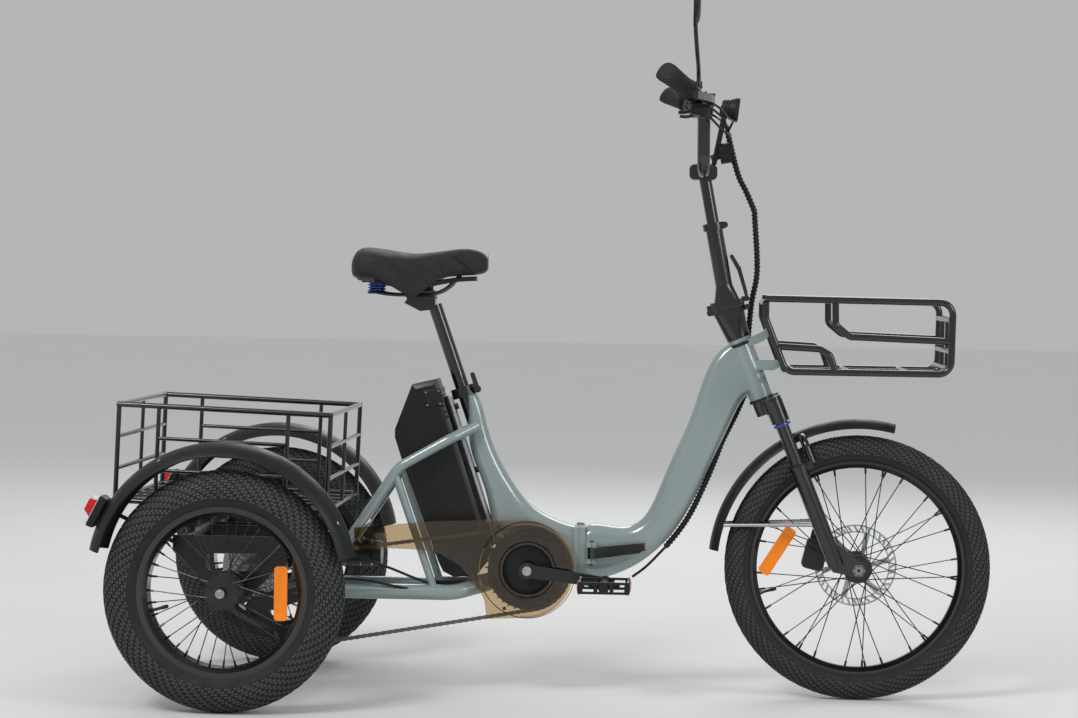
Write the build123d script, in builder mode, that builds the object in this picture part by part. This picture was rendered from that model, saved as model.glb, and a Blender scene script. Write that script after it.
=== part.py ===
from build123d import *
import math
import os

# Folding electric tricycle with two rear wheels, a cargo basket and a sprung front fork.
# +X is forward, +Y is the rider's left, +Z is up. Lengths are millimetres, angles degrees.
# Places in the side view are measured forward from the rear axle and up from the ground.

os.makedirs("parts", exist_ok=True)

# ---------------------------------------------------------------- driving dimensions
wheelbase = 1180.0
rear_track = 686.0
tail_reach = 268.17  # from the rear axle back to the rearmost point
running_fit = 0.05  # radial clearance of a shaft in its bearing
body_gap = 0.4  # between pieces that move past each other

rear_tyre_radius = 224.5
rear_tyre_width = 76.0
rear_bead_radius = 154.0
rear_rim_inner_radius = 140.0
rear_rim_half_width = 27.0
rear_flange_radius = 32.0
rear_flange_spread = 26.0

front_tyre_radius = 257.5
front_tyre_width = 54.0
front_bead_radius = 207.0
front_rim_inner_radius = 194.0
front_rim_half_width = 15.0
front_flange_radius = 28.0
front_flange_spread = 30.0

spoke_radius = 1.1
spokes_per_wheel = 36
half_shaft_radius = 10.0
brake_disc_radius = 80.0
brake_disc_thickness = 1.8

head_angle = 68.0  # steering axis above the horizontal
head_tube_x, head_tube_z = 989.0, 584.0  # lower end of the head tube, on its axis
head_tube_length = 123.0
head_tube_radius = 23.0
steerer_radius = 14.3

post_angle = 79.0  # handlebar post above the horizontal
post_x, post_z = 921.0, 760.0  # lower end of the post, on its axis
post_radius = 16.5
post_length = 165.0
inner_post_radius = 12.0

seat_angle = 70.5
seat_tube_x, seat_tube_z = 407.0, 590.0  # top of the seat tube, on its axis
seat_tube_radius = 19.0
seat_post_radius = 13.6
seat_post_reach = 168.0  # exposed post, from the seat tube to its head
seat_post_depth = 190.0  # post inside the seat tube

hinge_x = 640.0  # plane where the two halves of the frame meet
hinge_pin_y = 40.0
hinge_low_z, hinge_high_z = 229.0, 327.0
frame_width = 54.0

crank_x, crank_z = 543.0, 247.0
crank_length = 152.0
crank_angle = -7.5
crank_line = 92.0  # middle of each crank arm from the centre plane
bottom_bracket_half = 36.0
spindle_radius = 8.5

chain_pitch = 12.7
chain_line = 50.0  # chain's distance to the right of the centre plane
chainring_teeth = 40
cog_teeth = (12, 14, 16, 18, 21, 24, 28)
cog_spacing = 5.0
pulley_teeth = 11
guide_pulley_x, guide_pulley_z = 10.0, 160.0
tension_pulley_x, tension_pulley_z = 81.0, 108.0

stay_y = 68.0
chain_stay_y = 64.0
chain_stay_z = 198.0
chain_stay_radius = 15.0
bridge_x = 118.0

basket_length = 402.0
basket_width = 444.0
basket_height = 182.0
basket_tilt = 2.0
basket_rear_x = -231.0
basket_floor_z = 378.0
basket_wire = 4.0

fender_centre_x, fender_centre_z = -5.0, 250.0
fender_radius = 250.0
fender_width = 92.0
fender_start, fender_end = 10.0, 168.7  # angles above the forward direction
front_fender_radius = 289.0
front_fender_start, front_fender_end = 76.0, 174.0
front_fender_width = 62.0

fork_leg_y = 60.0
fork_offset = 18.0  # stanchions ahead of the steering axis
stanchion_radius = 12.5
lower_leg_radius = 15.5
fork_travel = 45.0
lower_leg_top = -141.0  # along the steering axis from the head tube's lower end
lower_leg_bottom = -352.0

front_basket_half = 135.0
front_basket_tube = 6.5

battery_half_width = 42.0
bar_tube = 12.0

rear_axle_x = -(wheelbase + front_tyre_radius - tail_reach) / 2
rear_wheel_y = rear_track / 2


# ---------------------------------------------------------------- helpers
def spot(x, y, z):
    """World point from a side-view place and a distance to the left."""
    return (rear_axle_x + x, y, z)


def side(y=0.0):
    """Plane seen from the right: its X is forward, its Y is up."""
    return Plane(origin=(rear_axle_x, y, 0), x_dir=(1, 0, 0), z_dir=(0, -1, 0))


def radial(x, y, z, angle=90.0):
    """Plane through an axle: its X runs left along the axle, its Y points out at the angle."""
    a = math.radians(angle)
    return Plane(origin=spot(x, y, z), x_dir=(0, 1, 0), z_dir=(math.sin(a), 0, -math.cos(a)))


def axle(x, y, z):
    """Axis along an axle, turning upward from the front."""
    return Axis(spot(x, y, z), (0, -1, 0))


def steering_point(along, ahead=0.0, y=0.0):
    """World point by its height along the steering axis and its distance ahead of it."""
    a = math.radians(head_angle)
    x = head_tube_x - along * math.cos(a) + ahead * math.sin(a)
    z = head_tube_z + along * math.sin(a) + ahead * math.cos(a)
    return spot(x, y, z)


def post_point(along, ahead=0.0, y=0.0):
    """World point by its height along the handlebar post and its distance ahead of it."""
    a = math.radians(post_angle)
    x = post_x - along * math.cos(a) + ahead * math.sin(a)
    z = post_z + along * math.sin(a) + ahead * math.cos(a)
    return spot(x, y, z)


def seat_point(along, ahead=0.0, y=0.0):
    """World point by its height along the seat tube and its distance ahead of it."""
    a = math.radians(seat_angle)
    x = seat_tube_x - along * math.cos(a) + ahead * math.sin(a)
    z = seat_tube_z + along * math.sin(a) + ahead * math.cos(a)
    return spot(x, y, z)


def across(point, angle):
    """Plane square to a leaning tube: its X runs left, its Z up along the tube."""
    a = math.radians(angle)
    return Plane(origin=point, x_dir=(0, 1, 0), z_dir=(-math.cos(a), 0, math.sin(a)))


def rod(start, end, radius, mode=Mode.ADD):
    """A straight round bar between two world points, added to the open part."""
    way = Vector(*end) - Vector(*start)
    with BuildSketch(Plane(origin=start, z_dir=way)) as section:
        Circle(radius)
    extrude(section.sketch, amount=way.length, mode=mode)


def bent_tube(points, radius, bends):
    """A round tube along world points with an arc at each corner, added to the open part."""
    with BuildLine() as route:
        FilletPolyline(*points, radius=bends)
    with BuildSketch(Plane(origin=route.line @ 0, z_dir=route.line % 0)) as section:
        Circle(radius)
    sweep(section.sketch, path=route.line)


def cross_rod(x, z, y_from, y_to, radius, mode=Mode.ADD):
    """A round bar along Y, added to the open part."""
    rod(spot(x, y_from, z), spot(x, y_to, z), radius, mode)


def tube_sections(sections):
    """Rounded sections of a shaped tube: middle x, z, direction, height and width of each."""
    faces = []
    for x, z, direction, height, width in sections:
        a = math.radians(direction)
        plane = Plane(origin=spot(x, 0, z), x_dir=(0, 1, 0), z_dir=(math.cos(a), 0, math.sin(a)))
        with BuildSketch(plane) as section:
            RectangleRounded(width, height, 0.42 * min(height, width))
        faces.append(section.sketch.face())
    return faces


def save(piece, name):
    """Labels a finished piece and writes it under its own name."""
    piece.part.label = name
    export_step(piece.part, f"parts/{name}.step")


# ---------------------------------------------------------------- rear half of the frame
rear_sections = (
    (seat_tube_x, seat_tube_z, -seat_angle, 2 * seat_tube_radius, 2 * seat_tube_radius),
    (441, 496, -70.0, 42, 42),
    (462, 440, -69.0, 48, 46),
    (490, 376, -52.0, 68, 50),
    (531, 297, -20.0, 132, frame_width),
    (588, 281, -2.0, 118, frame_width),
    (hinge_x - 8, (hinge_low_z + hinge_high_z) / 2, 0.0, hinge_high_z - hinge_low_z, frame_width),
)
with BuildPart() as rear_frame_tube:
    loft(tube_sections(rear_sections))
    cross_rod(crank_x, crank_z, -bottom_bracket_half, bottom_bracket_half, 24.0)
    cross_rod(crank_x, crank_z, -50, 50, 17.5, Mode.SUBTRACT)
    rod(seat_point(-305), seat_point(5), seat_post_radius + running_fit, Mode.SUBTRACT)
    with BuildSketch(Plane.XY.offset(hinge_low_z)):
        with Locations((rear_axle_x + hinge_x - 5, -0.5)):
            Rectangle(10, 59)
    extrude(amount=hinge_high_z - hinge_low_z)
    for low, high in ((hinge_low_z, 259.0), (297.0, hinge_high_z)):
        with BuildSketch(Plane.XY.offset(low)):
            with Locations((rear_axle_x + hinge_x - 5, 30)):
                Rectangle(10, 20)
            with Locations((rear_axle_x + hinge_x, hinge_pin_y)):
                Circle(10)
        extrude(amount=high - low)
    rod(spot(hinge_x, hinge_pin_y, 220), spot(hinge_x, hinge_pin_y, 340),
        4 + running_fit, Mode.SUBTRACT)
save(rear_frame_tube, "rear_frame_tube")

with BuildPart() as frame_hinge_pin:
    rod(spot(hinge_x, hinge_pin_y, hinge_low_z - 2), spot(hinge_x, hinge_pin_y, hinge_high_z + 2), 4.0)
    rod(spot(hinge_x, hinge_pin_y, hinge_high_z), spot(hinge_x, hinge_pin_y, hinge_high_z + 3), 7.0)
    rod(spot(hinge_x, hinge_pin_y, hinge_low_z - 3), spot(hinge_x, hinge_pin_y, hinge_low_z), 7.0)
save(frame_hinge_pin, "frame_hinge_pin")

with BuildPart() as seat_stays:
    for hand in (-1, 1):
        bent_tube(
            [spot(140, hand * stay_y, 214), spot(290, hand * stay_y, 440),
             spot(388, hand * 63, 496), spot(438, hand * 32, 521)],
            10.0, [70, 40],
        )
        rod(spot(284, hand * stay_y, 424), spot(361, hand * (stay_y - 3), 206), 7.5)
    rod(spot(215, -stay_y, 327), spot(215, stay_y, 327), 8.0)
save(seat_stays, "seat_stays")

with BuildPart() as chain_stays:
    for hand in (-1, 1):
        bent_tube(
            [spot(108, hand * chain_stay_y, chain_stay_z), spot(400, hand * chain_stay_y, chain_stay_z),
             spot(458, hand * 30, 212), spot(524, hand * 20, 236)],
            chain_stay_radius, [70, 60],
        )
    cross_rod(bridge_x, chain_stay_z, -92, 92, 12.0)
    cross_rod(356, chain_stay_z, -chain_stay_y, chain_stay_y, 9.0)
save(chain_stays, "chain_stays")

with BuildPart() as seat_clamp:
    with BuildSketch(across(seat_point(-14), seat_angle)):
        Circle(seat_tube_radius + 5)
        Circle(seat_tube_radius + 0.2, mode=Mode.SUBTRACT)
    extrude(amount=18)
    with BuildSketch(across(seat_point(0.3), seat_angle)):
        Circle(seat_tube_radius + 5)
        Circle(seat_post_radius + 0.5, mode=Mode.SUBTRACT)
    extrude(amount=5)
    rod(seat_point(-8, 29, -12), seat_point(-8, 29, 12), 5.0)
    with BuildSketch(across(seat_point(-13), seat_angle)):
        with Locations((0, -26)):
            Rectangle(20, 10)
    extrude(amount=10)
    rod(seat_point(-8, 29, -20), seat_point(-8, 29, 20), 2.5 + running_fit, Mode.SUBTRACT)
save(seat_clamp, "seat_clamp")

with BuildPart() as seat_clamp_lever:
    rod(seat_point(-8, 29, -19), seat_point(-8, 29, 16), 2.5)
    rod(seat_point(-8, 29, -24), seat_point(-8, 29, -12.5), 7.0)
    with BuildSketch(Plane(origin=seat_point(-8, 29, -17), x_dir=(-math.sin(math.radians(20)), 0,
                           math.cos(math.radians(20))), z_dir=(0, -1, 0))):
        with Locations((15, 0)):
            SlotCenterToCenter(30, 9)
    extrude(amount=6)
save(seat_clamp_lever, "seat_clamp_lever")

# ---------------------------------------------------------------- battery behind the seat tube
battery_angle = 71.4
rail_base_x, rail_base_z = 480.0, 290.0


def rail_point(along, behind, y=0.0):
    """World point along the battery rail, measured up from its foot and back from the frame."""
    a = math.radians(battery_angle)
    x = rail_base_x - along * math.cos(a) - behind * math.sin(a)
    z = rail_base_z + along * math.sin(a) - behind * math.cos(a)
    return spot(x, y, z)


with BuildPart() as battery_dock:
    rail_plane = Plane(origin=rail_point(0, 8), x_dir=(0, 1, 0),
                       z_dir=(-math.cos(math.radians(battery_angle)), 0,
                              math.sin(math.radians(battery_angle))))
    with BuildSketch(rail_plane):
        with Locations((0, 2)):
            Rectangle(24, 4)
        Rectangle(34, 4)
    extrude(amount=305)
    for along in (20, 150, 280):
        rod(rail_point(along, 6), rail_point(along, -8), 6.0)
    with BuildSketch(side()):
        with BuildLine():
            Polyline((362, 198), (428, 198), (428, 214), (420, 218), (362, 218), close=True)
        make_face()
    extrude(amount=36, both=True)
save(battery_dock, "battery_dock")

battery_front = 12.0 + body_gap  # back from the frame, just clear of the rail
with BuildPart() as battery_pack:
    lower = rail_point(-14, battery_front)
    upper = rail_point(332, battery_front)
    with BuildSketch(side()):
        with BuildLine():
            Polyline(
                (upper[0] - rear_axle_x - 4, upper[2] + 6), (310, 599), (278, 512), (278, 496),
                (290, 459), (366, 256), (376, 236), (396, 226), (440, 228), (462, 256),
                (lower[0] - rear_axle_x, lower[2]), (upper[0] - rear_axle_x, upper[2]),
                close=True,
            )
        make_face()
    extrude(amount=battery_half_width, both=True)
    fillet(battery_pack.edges().filter_by(Plane.XZ).group_by(Axis.Y)[0], 7)
    fillet(battery_pack.edges().filter_by(Plane.XZ).group_by(Axis.Y)[-1], 7)
save(battery_pack, "battery_pack")

# ---------------------------------------------------------------- seat post and saddle
with BuildPart() as seat_post:
    rod(seat_point(-seat_post_depth), seat_point(seat_post_reach + 6), seat_post_radius)
    rod(seat_point(-seat_post_depth - 5), seat_point(seat_post_reach - 20), seat_post_radius - 2.5,
        Mode.SUBTRACT)
    with BuildSketch(side()):
        with BuildLine():
            Polyline((351, 746), (351, 766), (300, 770), (290, 758), (322, 742), close=True)
        make_face()
    extrude(amount=16, both=True)
save(seat_post, "seat_post")

with BuildPart() as saddle_rails:
    for hand in (-1, 1):
        bent_tube(
            [spot(232, hand * 50, 792), spot(248, hand * 30, 773), spot(350, hand * 22, 775),
             spot(398, hand * 14, 806)],
            3.5, [14, 30],
        )
        rod(spot(235, hand * 50, 776), spot(235, hand * 50, 806), 13.0)
    cross_rod(235, 781, -50, 50, 4.0)
    with BuildSketch(side()):
        with Locations((322, 774)):
            Rectangle(44, 8)
    extrude(amount=28, both=True)
save(saddle_rails, "saddle_rails")

saddle_outline = (  # x, half-width, underside, top
    (194, 92, 812, 848), (215, 118, 806, 864), (250, 122, 803, 860), (300, 96, 796, 853),
    (340, 62, 800, 856), (390, 38, 809, 863), (430, 31, 812, 858), (452, 20, 818, 846),
)
with BuildPart() as saddle:
    for x, half, low, high in saddle_outline:
        with BuildSketch(Plane(origin=spot(x, 0, (low + high) / 2), x_dir=(0, 1, 0), z_dir=(1, 0, 0))):
            RectangleRounded(2 * half, high - low, 0.44 * (high - low))
    loft()
save(saddle, "saddle")

with BuildPart() as saddle_base:
    for x, half, low, high in saddle_outline[1:-1]:
        with BuildSketch(Plane(origin=spot(x, 0, low - 5), x_dir=(0, 1, 0), z_dir=(1, 0, 0))):
            RectangleRounded(1.4 * half, 9, 3)
    loft()
save(saddle_base, "saddle_base")

# ---------------------------------------------------------------- rear axle frame and basket
plate_y = 244.0  # middle of each side plate
front_bar_x, rear_bar_x, bar_z = 95.0, -100.0, 302.0
motor_radius = 55.0
motor_right_y, motor_left_y = -12.0, 84.0
disc_y = 96.0

with BuildPart() as axle_frame:
    for hand in (-1, 1):
        with BuildSketch(side(hand * plate_y)):
            with BuildLine():
                Polyline(
                    (-115, bar_z + 15), (112, bar_z + 15), (112, bar_z - 14), (40, 212), (22, 190),
                    (-22, 190), (-40, 212), (-115, bar_z - 14), close=True,
                )
            make_face()
            with Locations((0, 268)):
                SlotOverall(110, 34, mode=Mode.SUBTRACT)
        extrude(amount=4, both=True)
        cross_rod(0, rear_tyre_radius, hand * 228, hand * 262, 27.0)
        cross_rod(0, rear_tyre_radius, hand * 125, hand * 230, 22.0)
    for x in (front_bar_x, rear_bar_x):
        cross_rod(x, bar_z, -248, 248, 14.0)
        for hand in (-1, 1):
            rod(spot(x, hand * 150, bar_z), spot(x, hand * 150, 366), 8.0)
    for hand in (-1, 1):
        with BuildSketch(side(hand * 85)):
            with BuildLine():
                Polyline((82, 316), (110, 316), (137, 208), (137, 186), (128, 178), (106, 178),
                         (98, 188), close=True)
            make_face()
        extrude(amount=4, both=True)
        cross_rod(bridge_x, chain_stay_z, hand * 78, hand * 92, 12.0 + 0.05, Mode.SUBTRACT)
    for y in (6.0, 66.0):
        with BuildSketch(side(y)):
            with BuildLine():
                Polyline((-104, 314), (100, 314), (100, 290), (40, 262), (-40, 262), (-104, 290),
                         close=True)
            make_face()
            with Locations((0, rear_tyre_radius)):
                Circle(motor_radius, mode=Mode.SUBTRACT)
        extrude(amount=4, both=True)
    cross_rod(0, rear_tyre_radius, -270, 270, 15.0, Mode.SUBTRACT)
    for start, end, radius in ((84, 188, 24.0), (186, 210, 27.0), (213, 232, 27.0), (235, 252, 25.0)):
        rod(spot(start, 0, 266), spot(end, 0, 266), radius)
    rod(spot(186, 0, 266), spot(250, 0, 266), 18.0)
save(axle_frame, "axle_frame")

with BuildPart() as motor_housing:
    with BuildSketch(radial(0, 0, rear_tyre_radius)):
        with BuildLine():
            Polyline(
                (motor_right_y, half_shaft_radius + 1), (motor_right_y, 34), (motor_right_y + 8, 34),
                (motor_right_y + 8, motor_radius), (motor_left_y - 10, motor_radius),
                (motor_left_y - 6, 40), (motor_left_y, 36), (motor_left_y, half_shaft_radius + 1),
                close=True,
            )
        make_face()
    revolve(axis=axle(0, 0, rear_tyre_radius))
save(motor_housing, "motor_housing")


def bearing(x, y, z, bore, outer, width):
    """A bearing as one ring about an axle, added to the open part."""
    with BuildSketch(side(y)) as ring:
        with Locations((x, z)):
            Circle(outer)
            Circle(bore, mode=Mode.SUBTRACT)
    extrude(ring.sketch, amount=width / 2, both=True)


with BuildPart() as shaft_bearings:
    for y in (-250.0, -135.0, 135.0, 250.0):
        bearing(0, y, rear_tyre_radius, half_shaft_radius + running_fit, 15.0, 14.0)
    for y in (-28.0, 28.0):
        bearing(crank_x, y, crank_z, spindle_radius + running_fit, 17.5, 14.0)
save(shaft_bearings, "shaft_bearings")


def basket_point(u, v, w):
    """World point in the basket: back to front, to the left, and up from its floor."""
    a = math.radians(basket_tilt)
    return spot(basket_rear_x + u * math.cos(a) + w * math.sin(a), v,
                basket_floor_z - u * math.sin(a) + w * math.cos(a))


def basket_rod(start, end, radius=basket_wire):
    """A straight basket wire between two places in the basket."""
    rod(basket_point(*start), basket_point(*end), radius)


with BuildPart() as rear_basket:
    half = basket_width / 2
    end = basket_length
    top = basket_height
    rail_heights = (top / 3, 2 * top / 3)
    for hand in (-1, 1):
        basket_rod((-4, hand * half, top), (end + 4, hand * half, top), 5.2)
        basket_rod((-3, hand * half, 0), (end + 3, hand * half, 0), 5.2)
        for u in (0, end):
            basket_rod((u, hand * half, -2), (u, hand * half, top + 2), 4.5)
        for u in (76, 322):
            basket_rod((u, hand * half, -1), (u, hand * half, top + 1), 4.0)
        for height in rail_heights:
            basket_rod((74, hand * half, height), (324, hand * half, height), 3.7)
    for u in (0, end):
        basket_rod((u, -half - 4, top), (u, half + 4, top), 4.9)
        basket_rod((u, -half - 3, 0), (u, half + 3, 0), 4.9)
        for height in rail_heights:
            basket_rod((u, -half - 2, height), (u, half + 2, height), 4.0)
        basket_rod((u, 0, -1), (u, 0, top + 1), 3.6)
    for count in range(1, 6):
        v = -half + count * basket_width / 6
        basket_rod((-1, v, -1), (end + 1, v, -1), 3.5)
    for count in range(1, 4):
        basket_rod((count * end / 4, -half - 1, 1.2), (count * end / 4, half + 1, 1.2), 3.8)
save(rear_basket, "rear_basket")

# ---------------------------------------------------------------- fenders and tail lights


def fender_section(plane, radius, width, drop, thickness):
    """Arched cross-section of a fender at its outer radius."""
    with BuildSketch(plane) as section:
        with BuildLine():
            ThreePointArc((-width / 2, radius - drop), (0, radius), (width / 2, radius - drop))
            Line((width / 2, radius - drop), (width / 2 - thickness, radius - drop))
            ThreePointArc((width / 2 - thickness, radius - drop), (0, radius - thickness),
                          (-width / 2 + thickness, radius - drop))
            Line((-width / 2 + thickness, radius - drop), (-width / 2, radius - drop))
        make_face()
    return section.sketch


def around(x, z, radius, angle, y=0.0):
    """World point on a circle in the side view."""
    a = math.radians(angle)
    return spot(x + radius * math.cos(a), y, z + radius * math.sin(a))


with BuildPart() as rear_fenders:
    for hand in (-1, 1):
        y = hand * rear_wheel_y
        section = fender_section(radial(fender_centre_x, y, fender_centre_z, fender_start),
                                 fender_radius, fender_width, 24.0, 3.0)
        revolve(section, axle(fender_centre_x, y, fender_centre_z), fender_end - fender_start)
        inner = hand * (rear_wheel_y - fender_width / 2 + 1.5)
        for angle, bar in ((152.0, (-108, bar_z)), (26.0, (104, bar_z))):
            rim = around(fender_centre_x, fender_centre_z, fender_radius - 22.5, angle, inner)
            rod(spot(bar[0], hand * 246, bar[1]), rim, 4.0)
save(rear_fenders, "rear_fenders")

light_angle = 153.0
with BuildPart() as tail_lights:
    for hand in (-1, 1):
        y = hand * rear_wheel_y
        mount = around(fender_centre_x, fender_centre_z, fender_radius + 0.2, light_angle, y)
        a = math.radians(light_angle)
        plane = Plane(origin=mount, x_dir=(0, 1, 0), z_dir=(math.cos(a), 0, math.sin(a)))
        with BuildSketch(plane):
            RectangleRounded(40, 58, 8)
        extrude(amount=12)
        with BuildSketch(plane.offset(12)):
            RectangleRounded(44, 62, 10)
        extrude(amount=19.9, taper=14)
save(tail_lights, "tail_lights")

# ---------------------------------------------------------------- wheels


def tyre(x, y, z, radius, width, bead_radius):
    """A hollow tyre open towards its rim, added to the open part."""
    middle = (radius + bead_radius) / 2 + 2
    half = width / 2
    with BuildSketch(radial(x, y, z)) as section:
        for shell in (0.0, 6.0):
            with BuildLine():
                ThreePointArc((-half * 0.62 + shell / 2, bead_radius), (-half + shell / 2, middle),
                              (-half * 0.66 + shell / 2, radius - width * 0.13 - shell))
                ThreePointArc((-half * 0.66 + shell / 2, radius - width * 0.13 - shell),
                              (0, radius - shell),
                              (half * 0.66 - shell / 2, radius - width * 0.13 - shell))
                ThreePointArc((half * 0.66 - shell / 2, radius - width * 0.13 - shell),
                              (half - shell / 2, middle), (half * 0.62 - shell / 2, bead_radius))
                Line((half * 0.62 - shell / 2, bead_radius), (-half * 0.62 + shell / 2, bead_radius))
            make_face(mode=Mode.SUBTRACT if shell else Mode.ADD)
    revolve(section.sketch, axle(x, y, z))


def rim(x, y, z, bead_radius, inner_radius, half_width, tyre_width):
    """A rim with a drop centre and two flanges, added to the open part."""
    flange = bead_radius + 5
    seat = tyre_width * 0.31
    with BuildSketch(radial(x, y, z)) as section:
        with BuildLine():
            Polyline(
                (-half_width, flange), (-half_width, inner_radius + 8), (-half_width + 9, inner_radius),
                (half_width - 9, inner_radius), (half_width, inner_radius + 8), (half_width, flange),
                (half_width - 2.4, flange), (half_width - 2.4, bead_radius - 1),
                (half_width - 11, inner_radius + 4), (-half_width + 11, inner_radius + 4),
                (-half_width + 2.4, bead_radius - 1), (-half_width + 2.4, flange), close=True,
            )
        make_face()
    revolve(section.sketch, axle(x, y, z))
    bearing(x, y, z, bead_radius - 4, bead_radius - 0.3, 2 * min(seat, half_width - 1))


def spokes(x, y, z, flange_radius, spread, rim_radius, lace):
    """Laced spokes from both flanges, leading and trailing in turn, added to the open part."""
    per_family = spokes_per_wheel // 4
    step = 360.0 / per_family
    for hand in (-1, 1):
        for turn in (-1, 1):
            for count in range(per_family):
                start = (count + (0.25 if hand > 0 else 0.0)) * step + (turn + 1) * step / 4
                hub = around(x, z, flange_radius - 4, start, y + hand * spread + turn * 1.6)
                end = around(x, z, rim_radius + 2, start + turn * lace,
                             y + hand * 4.5 + turn * 1.6)
                rod(hub, end, spoke_radius)


def reflector(x, y, z, radius, length, angle, tilt):
    """A reflector clipped across the spokes, added to the open part."""
    centre = around(x, z, radius, angle, y)
    t = math.radians(tilt)
    plane = Plane(origin=centre, x_dir=(math.cos(t), 0, math.sin(t)), z_dir=(0, -1, 0))
    with BuildSketch(plane) as plate:
        RectangleRounded(length, 24, 4)
    extrude(plate.sketch, amount=5)


for hand, name in ((-1, "right"), (1, "left")):
    y = hand * rear_wheel_y
    with BuildPart() as rear_tyre:
        tyre(0, y, rear_tyre_radius, rear_tyre_radius, rear_tyre_width, rear_bead_radius)
    save(rear_tyre, f"{name}_rear_tyre")

    with BuildPart() as rear_rim:
        rim(0, y, rear_tyre_radius, rear_bead_radius, rear_rim_inner_radius, rear_rim_half_width,
            rear_tyre_width)
    save(rear_rim, f"{name}_rear_rim")

    with BuildPart() as rear_hub:
        with BuildSketch(radial(0, y, rear_tyre_radius)):
            with BuildLine():
                flange = rear_flange_spread
                outer = rear_flange_radius
                Polyline(
                    (-flange - 5, 0), (-flange - 5, 16), (-flange - 2, outer), (-flange + 2, outer),
                    (-flange + 6, 17), (flange - 6, 17), (flange - 2, outer), (flange + 2, outer),
                    (flange + 5, 16), (flange + 5, 0), close=True,
                )
            make_face()
        revolve(axis=axle(0, y, rear_tyre_radius))
        cross_rod(0, rear_tyre_radius, y, y + hand * 40, half_shaft_radius)
        cross_rod(0, rear_tyre_radius, y + hand * 38, y + hand * 42, 9.0)
        inner_end = -2.0 if hand < 0 else disc_y - 60
        cross_rod(0, rear_tyre_radius, y, inner_end, half_shaft_radius)
        if hand > 0:
            disc_low, disc_high = disc_y - brake_disc_thickness / 2, disc_y + brake_disc_thickness / 2
            cross_rod(0, rear_tyre_radius, disc_low, disc_high, brake_disc_radius)
            with BuildSketch(side(disc_high + 1)):
                with Locations((0, rear_tyre_radius)):
                    with PolarLocations(52, 8):
                        Circle(13)
            extrude(amount=brake_disc_thickness + 4, mode=Mode.SUBTRACT)
            cross_rod(0, rear_tyre_radius, disc_y - 4, disc_y + 12, 22.0)
    save(rear_hub, f"{name}_rear_hub")

    with BuildPart() as rear_spokes:
        spokes(0, y, rear_tyre_radius, rear_flange_radius, rear_flange_spread,
               rear_rim_inner_radius, 20.0)
        reflector(0, y - 15.2, rear_tyre_radius, 108.0, 100.0, 0.0, 90.0)
    save(rear_spokes, f"{name}_rear_spokes")

front_x, front_z = wheelbase, front_tyre_radius
with BuildPart() as front_tyre:
    tyre(front_x, 0, front_z, front_tyre_radius, front_tyre_width, front_bead_radius)
save(front_tyre, "front_tyre")

with BuildPart() as front_rim:
    rim(front_x, 0, front_z, front_bead_radius, front_rim_inner_radius, front_rim_half_width,
        front_tyre_width)
save(front_rim, "front_rim")

front_axle_radius = 5.0
front_disc_y = 37.0
with BuildPart() as front_hub:
    with BuildSketch(radial(front_x, 0, front_z)):
        with BuildLine():
            bore = front_axle_radius + running_fit
            flange = front_flange_spread
            outer = front_flange_radius
            Polyline(
                (-44, bore), (-44, 11), (-flange - 4, 14), (-flange - 2, outer), (-flange + 1, outer),
                (-flange + 5, 15), (flange - 5, 15), (flange - 1, outer), (flange + 2, outer),
                (flange + 4, 20), (front_disc_y + 3, 20), (44, 11), (44, bore), close=True,
            )
        make_face()
    revolve(axis=axle(front_x, 0, front_z))
    bearing(front_x, front_disc_y, front_z, 19.0, brake_disc_radius, brake_disc_thickness)
    with BuildSketch(side(front_disc_y + 1.5)):
        with Locations((front_x, front_z)):
            with PolarLocations(50, 8):
                Circle(12)
    extrude(amount=3, mode=Mode.SUBTRACT)
save(front_hub, "front_hub")

with BuildPart() as front_spokes:
    spokes(front_x, 0, front_z, front_flange_radius, front_flange_spread,
           front_rim_inner_radius, 56.0)
    reflector(front_x, -12.7, front_z, 158.0, 104.0, 169.0, 58.0)
save(front_spokes, "front_spokes")

# ---------------------------------------------------------------- rear brake
with BuildPart() as rear_brake_caliper:
    a = math.atan2(bar_z - rear_tyre_radius, front_bar_x)
    plane = Plane(origin=spot(0, disc_y, rear_tyre_radius), x_dir=(math.cos(a), 0, math.sin(a)),
                  z_dir=(0, -1, 0))
    with BuildSketch(plane):
        with Locations((74, 0)):
            RectangleRounded(36, 46, 8)
    extrude(amount=16, both=True)
    with BuildSketch(plane):
        with Locations((64, 0)):
            Rectangle(40, 60)
    extrude(amount=2.4, both=True, mode=Mode.SUBTRACT)
    with BuildSketch(plane.offset(-12)):
        with Locations((98, 0)):
            Rectangle(24, 24)
    extrude(amount=4, both=True)
save(rear_brake_caliper, "rear_brake_caliper")

# ---------------------------------------------------------------- chain path


def path_radius(teeth):
    """Radius of the chain's path round a sprocket."""
    return teeth * chain_pitch / (2 * math.pi)


def chain_nodes(cage_angle):
    """Sprockets in the order the chain meets them: x, z, radius, turning sense."""
    reach = math.hypot(tension_pulley_x - guide_pulley_x, tension_pulley_z - guide_pulley_z)
    a = math.radians(cage_angle)
    return (
        (0.0, rear_tyre_radius, path_radius(cog_teeth[0]), -1),
        (crank_x, crank_z, path_radius(chainring_teeth), -1),
        (guide_pulley_x + reach * math.cos(a), guide_pulley_z + reach * math.sin(a),
         path_radius(pulley_teeth), -1),
        (guide_pulley_x, guide_pulley_z, path_radius(pulley_teeth), 1),
    )


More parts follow.
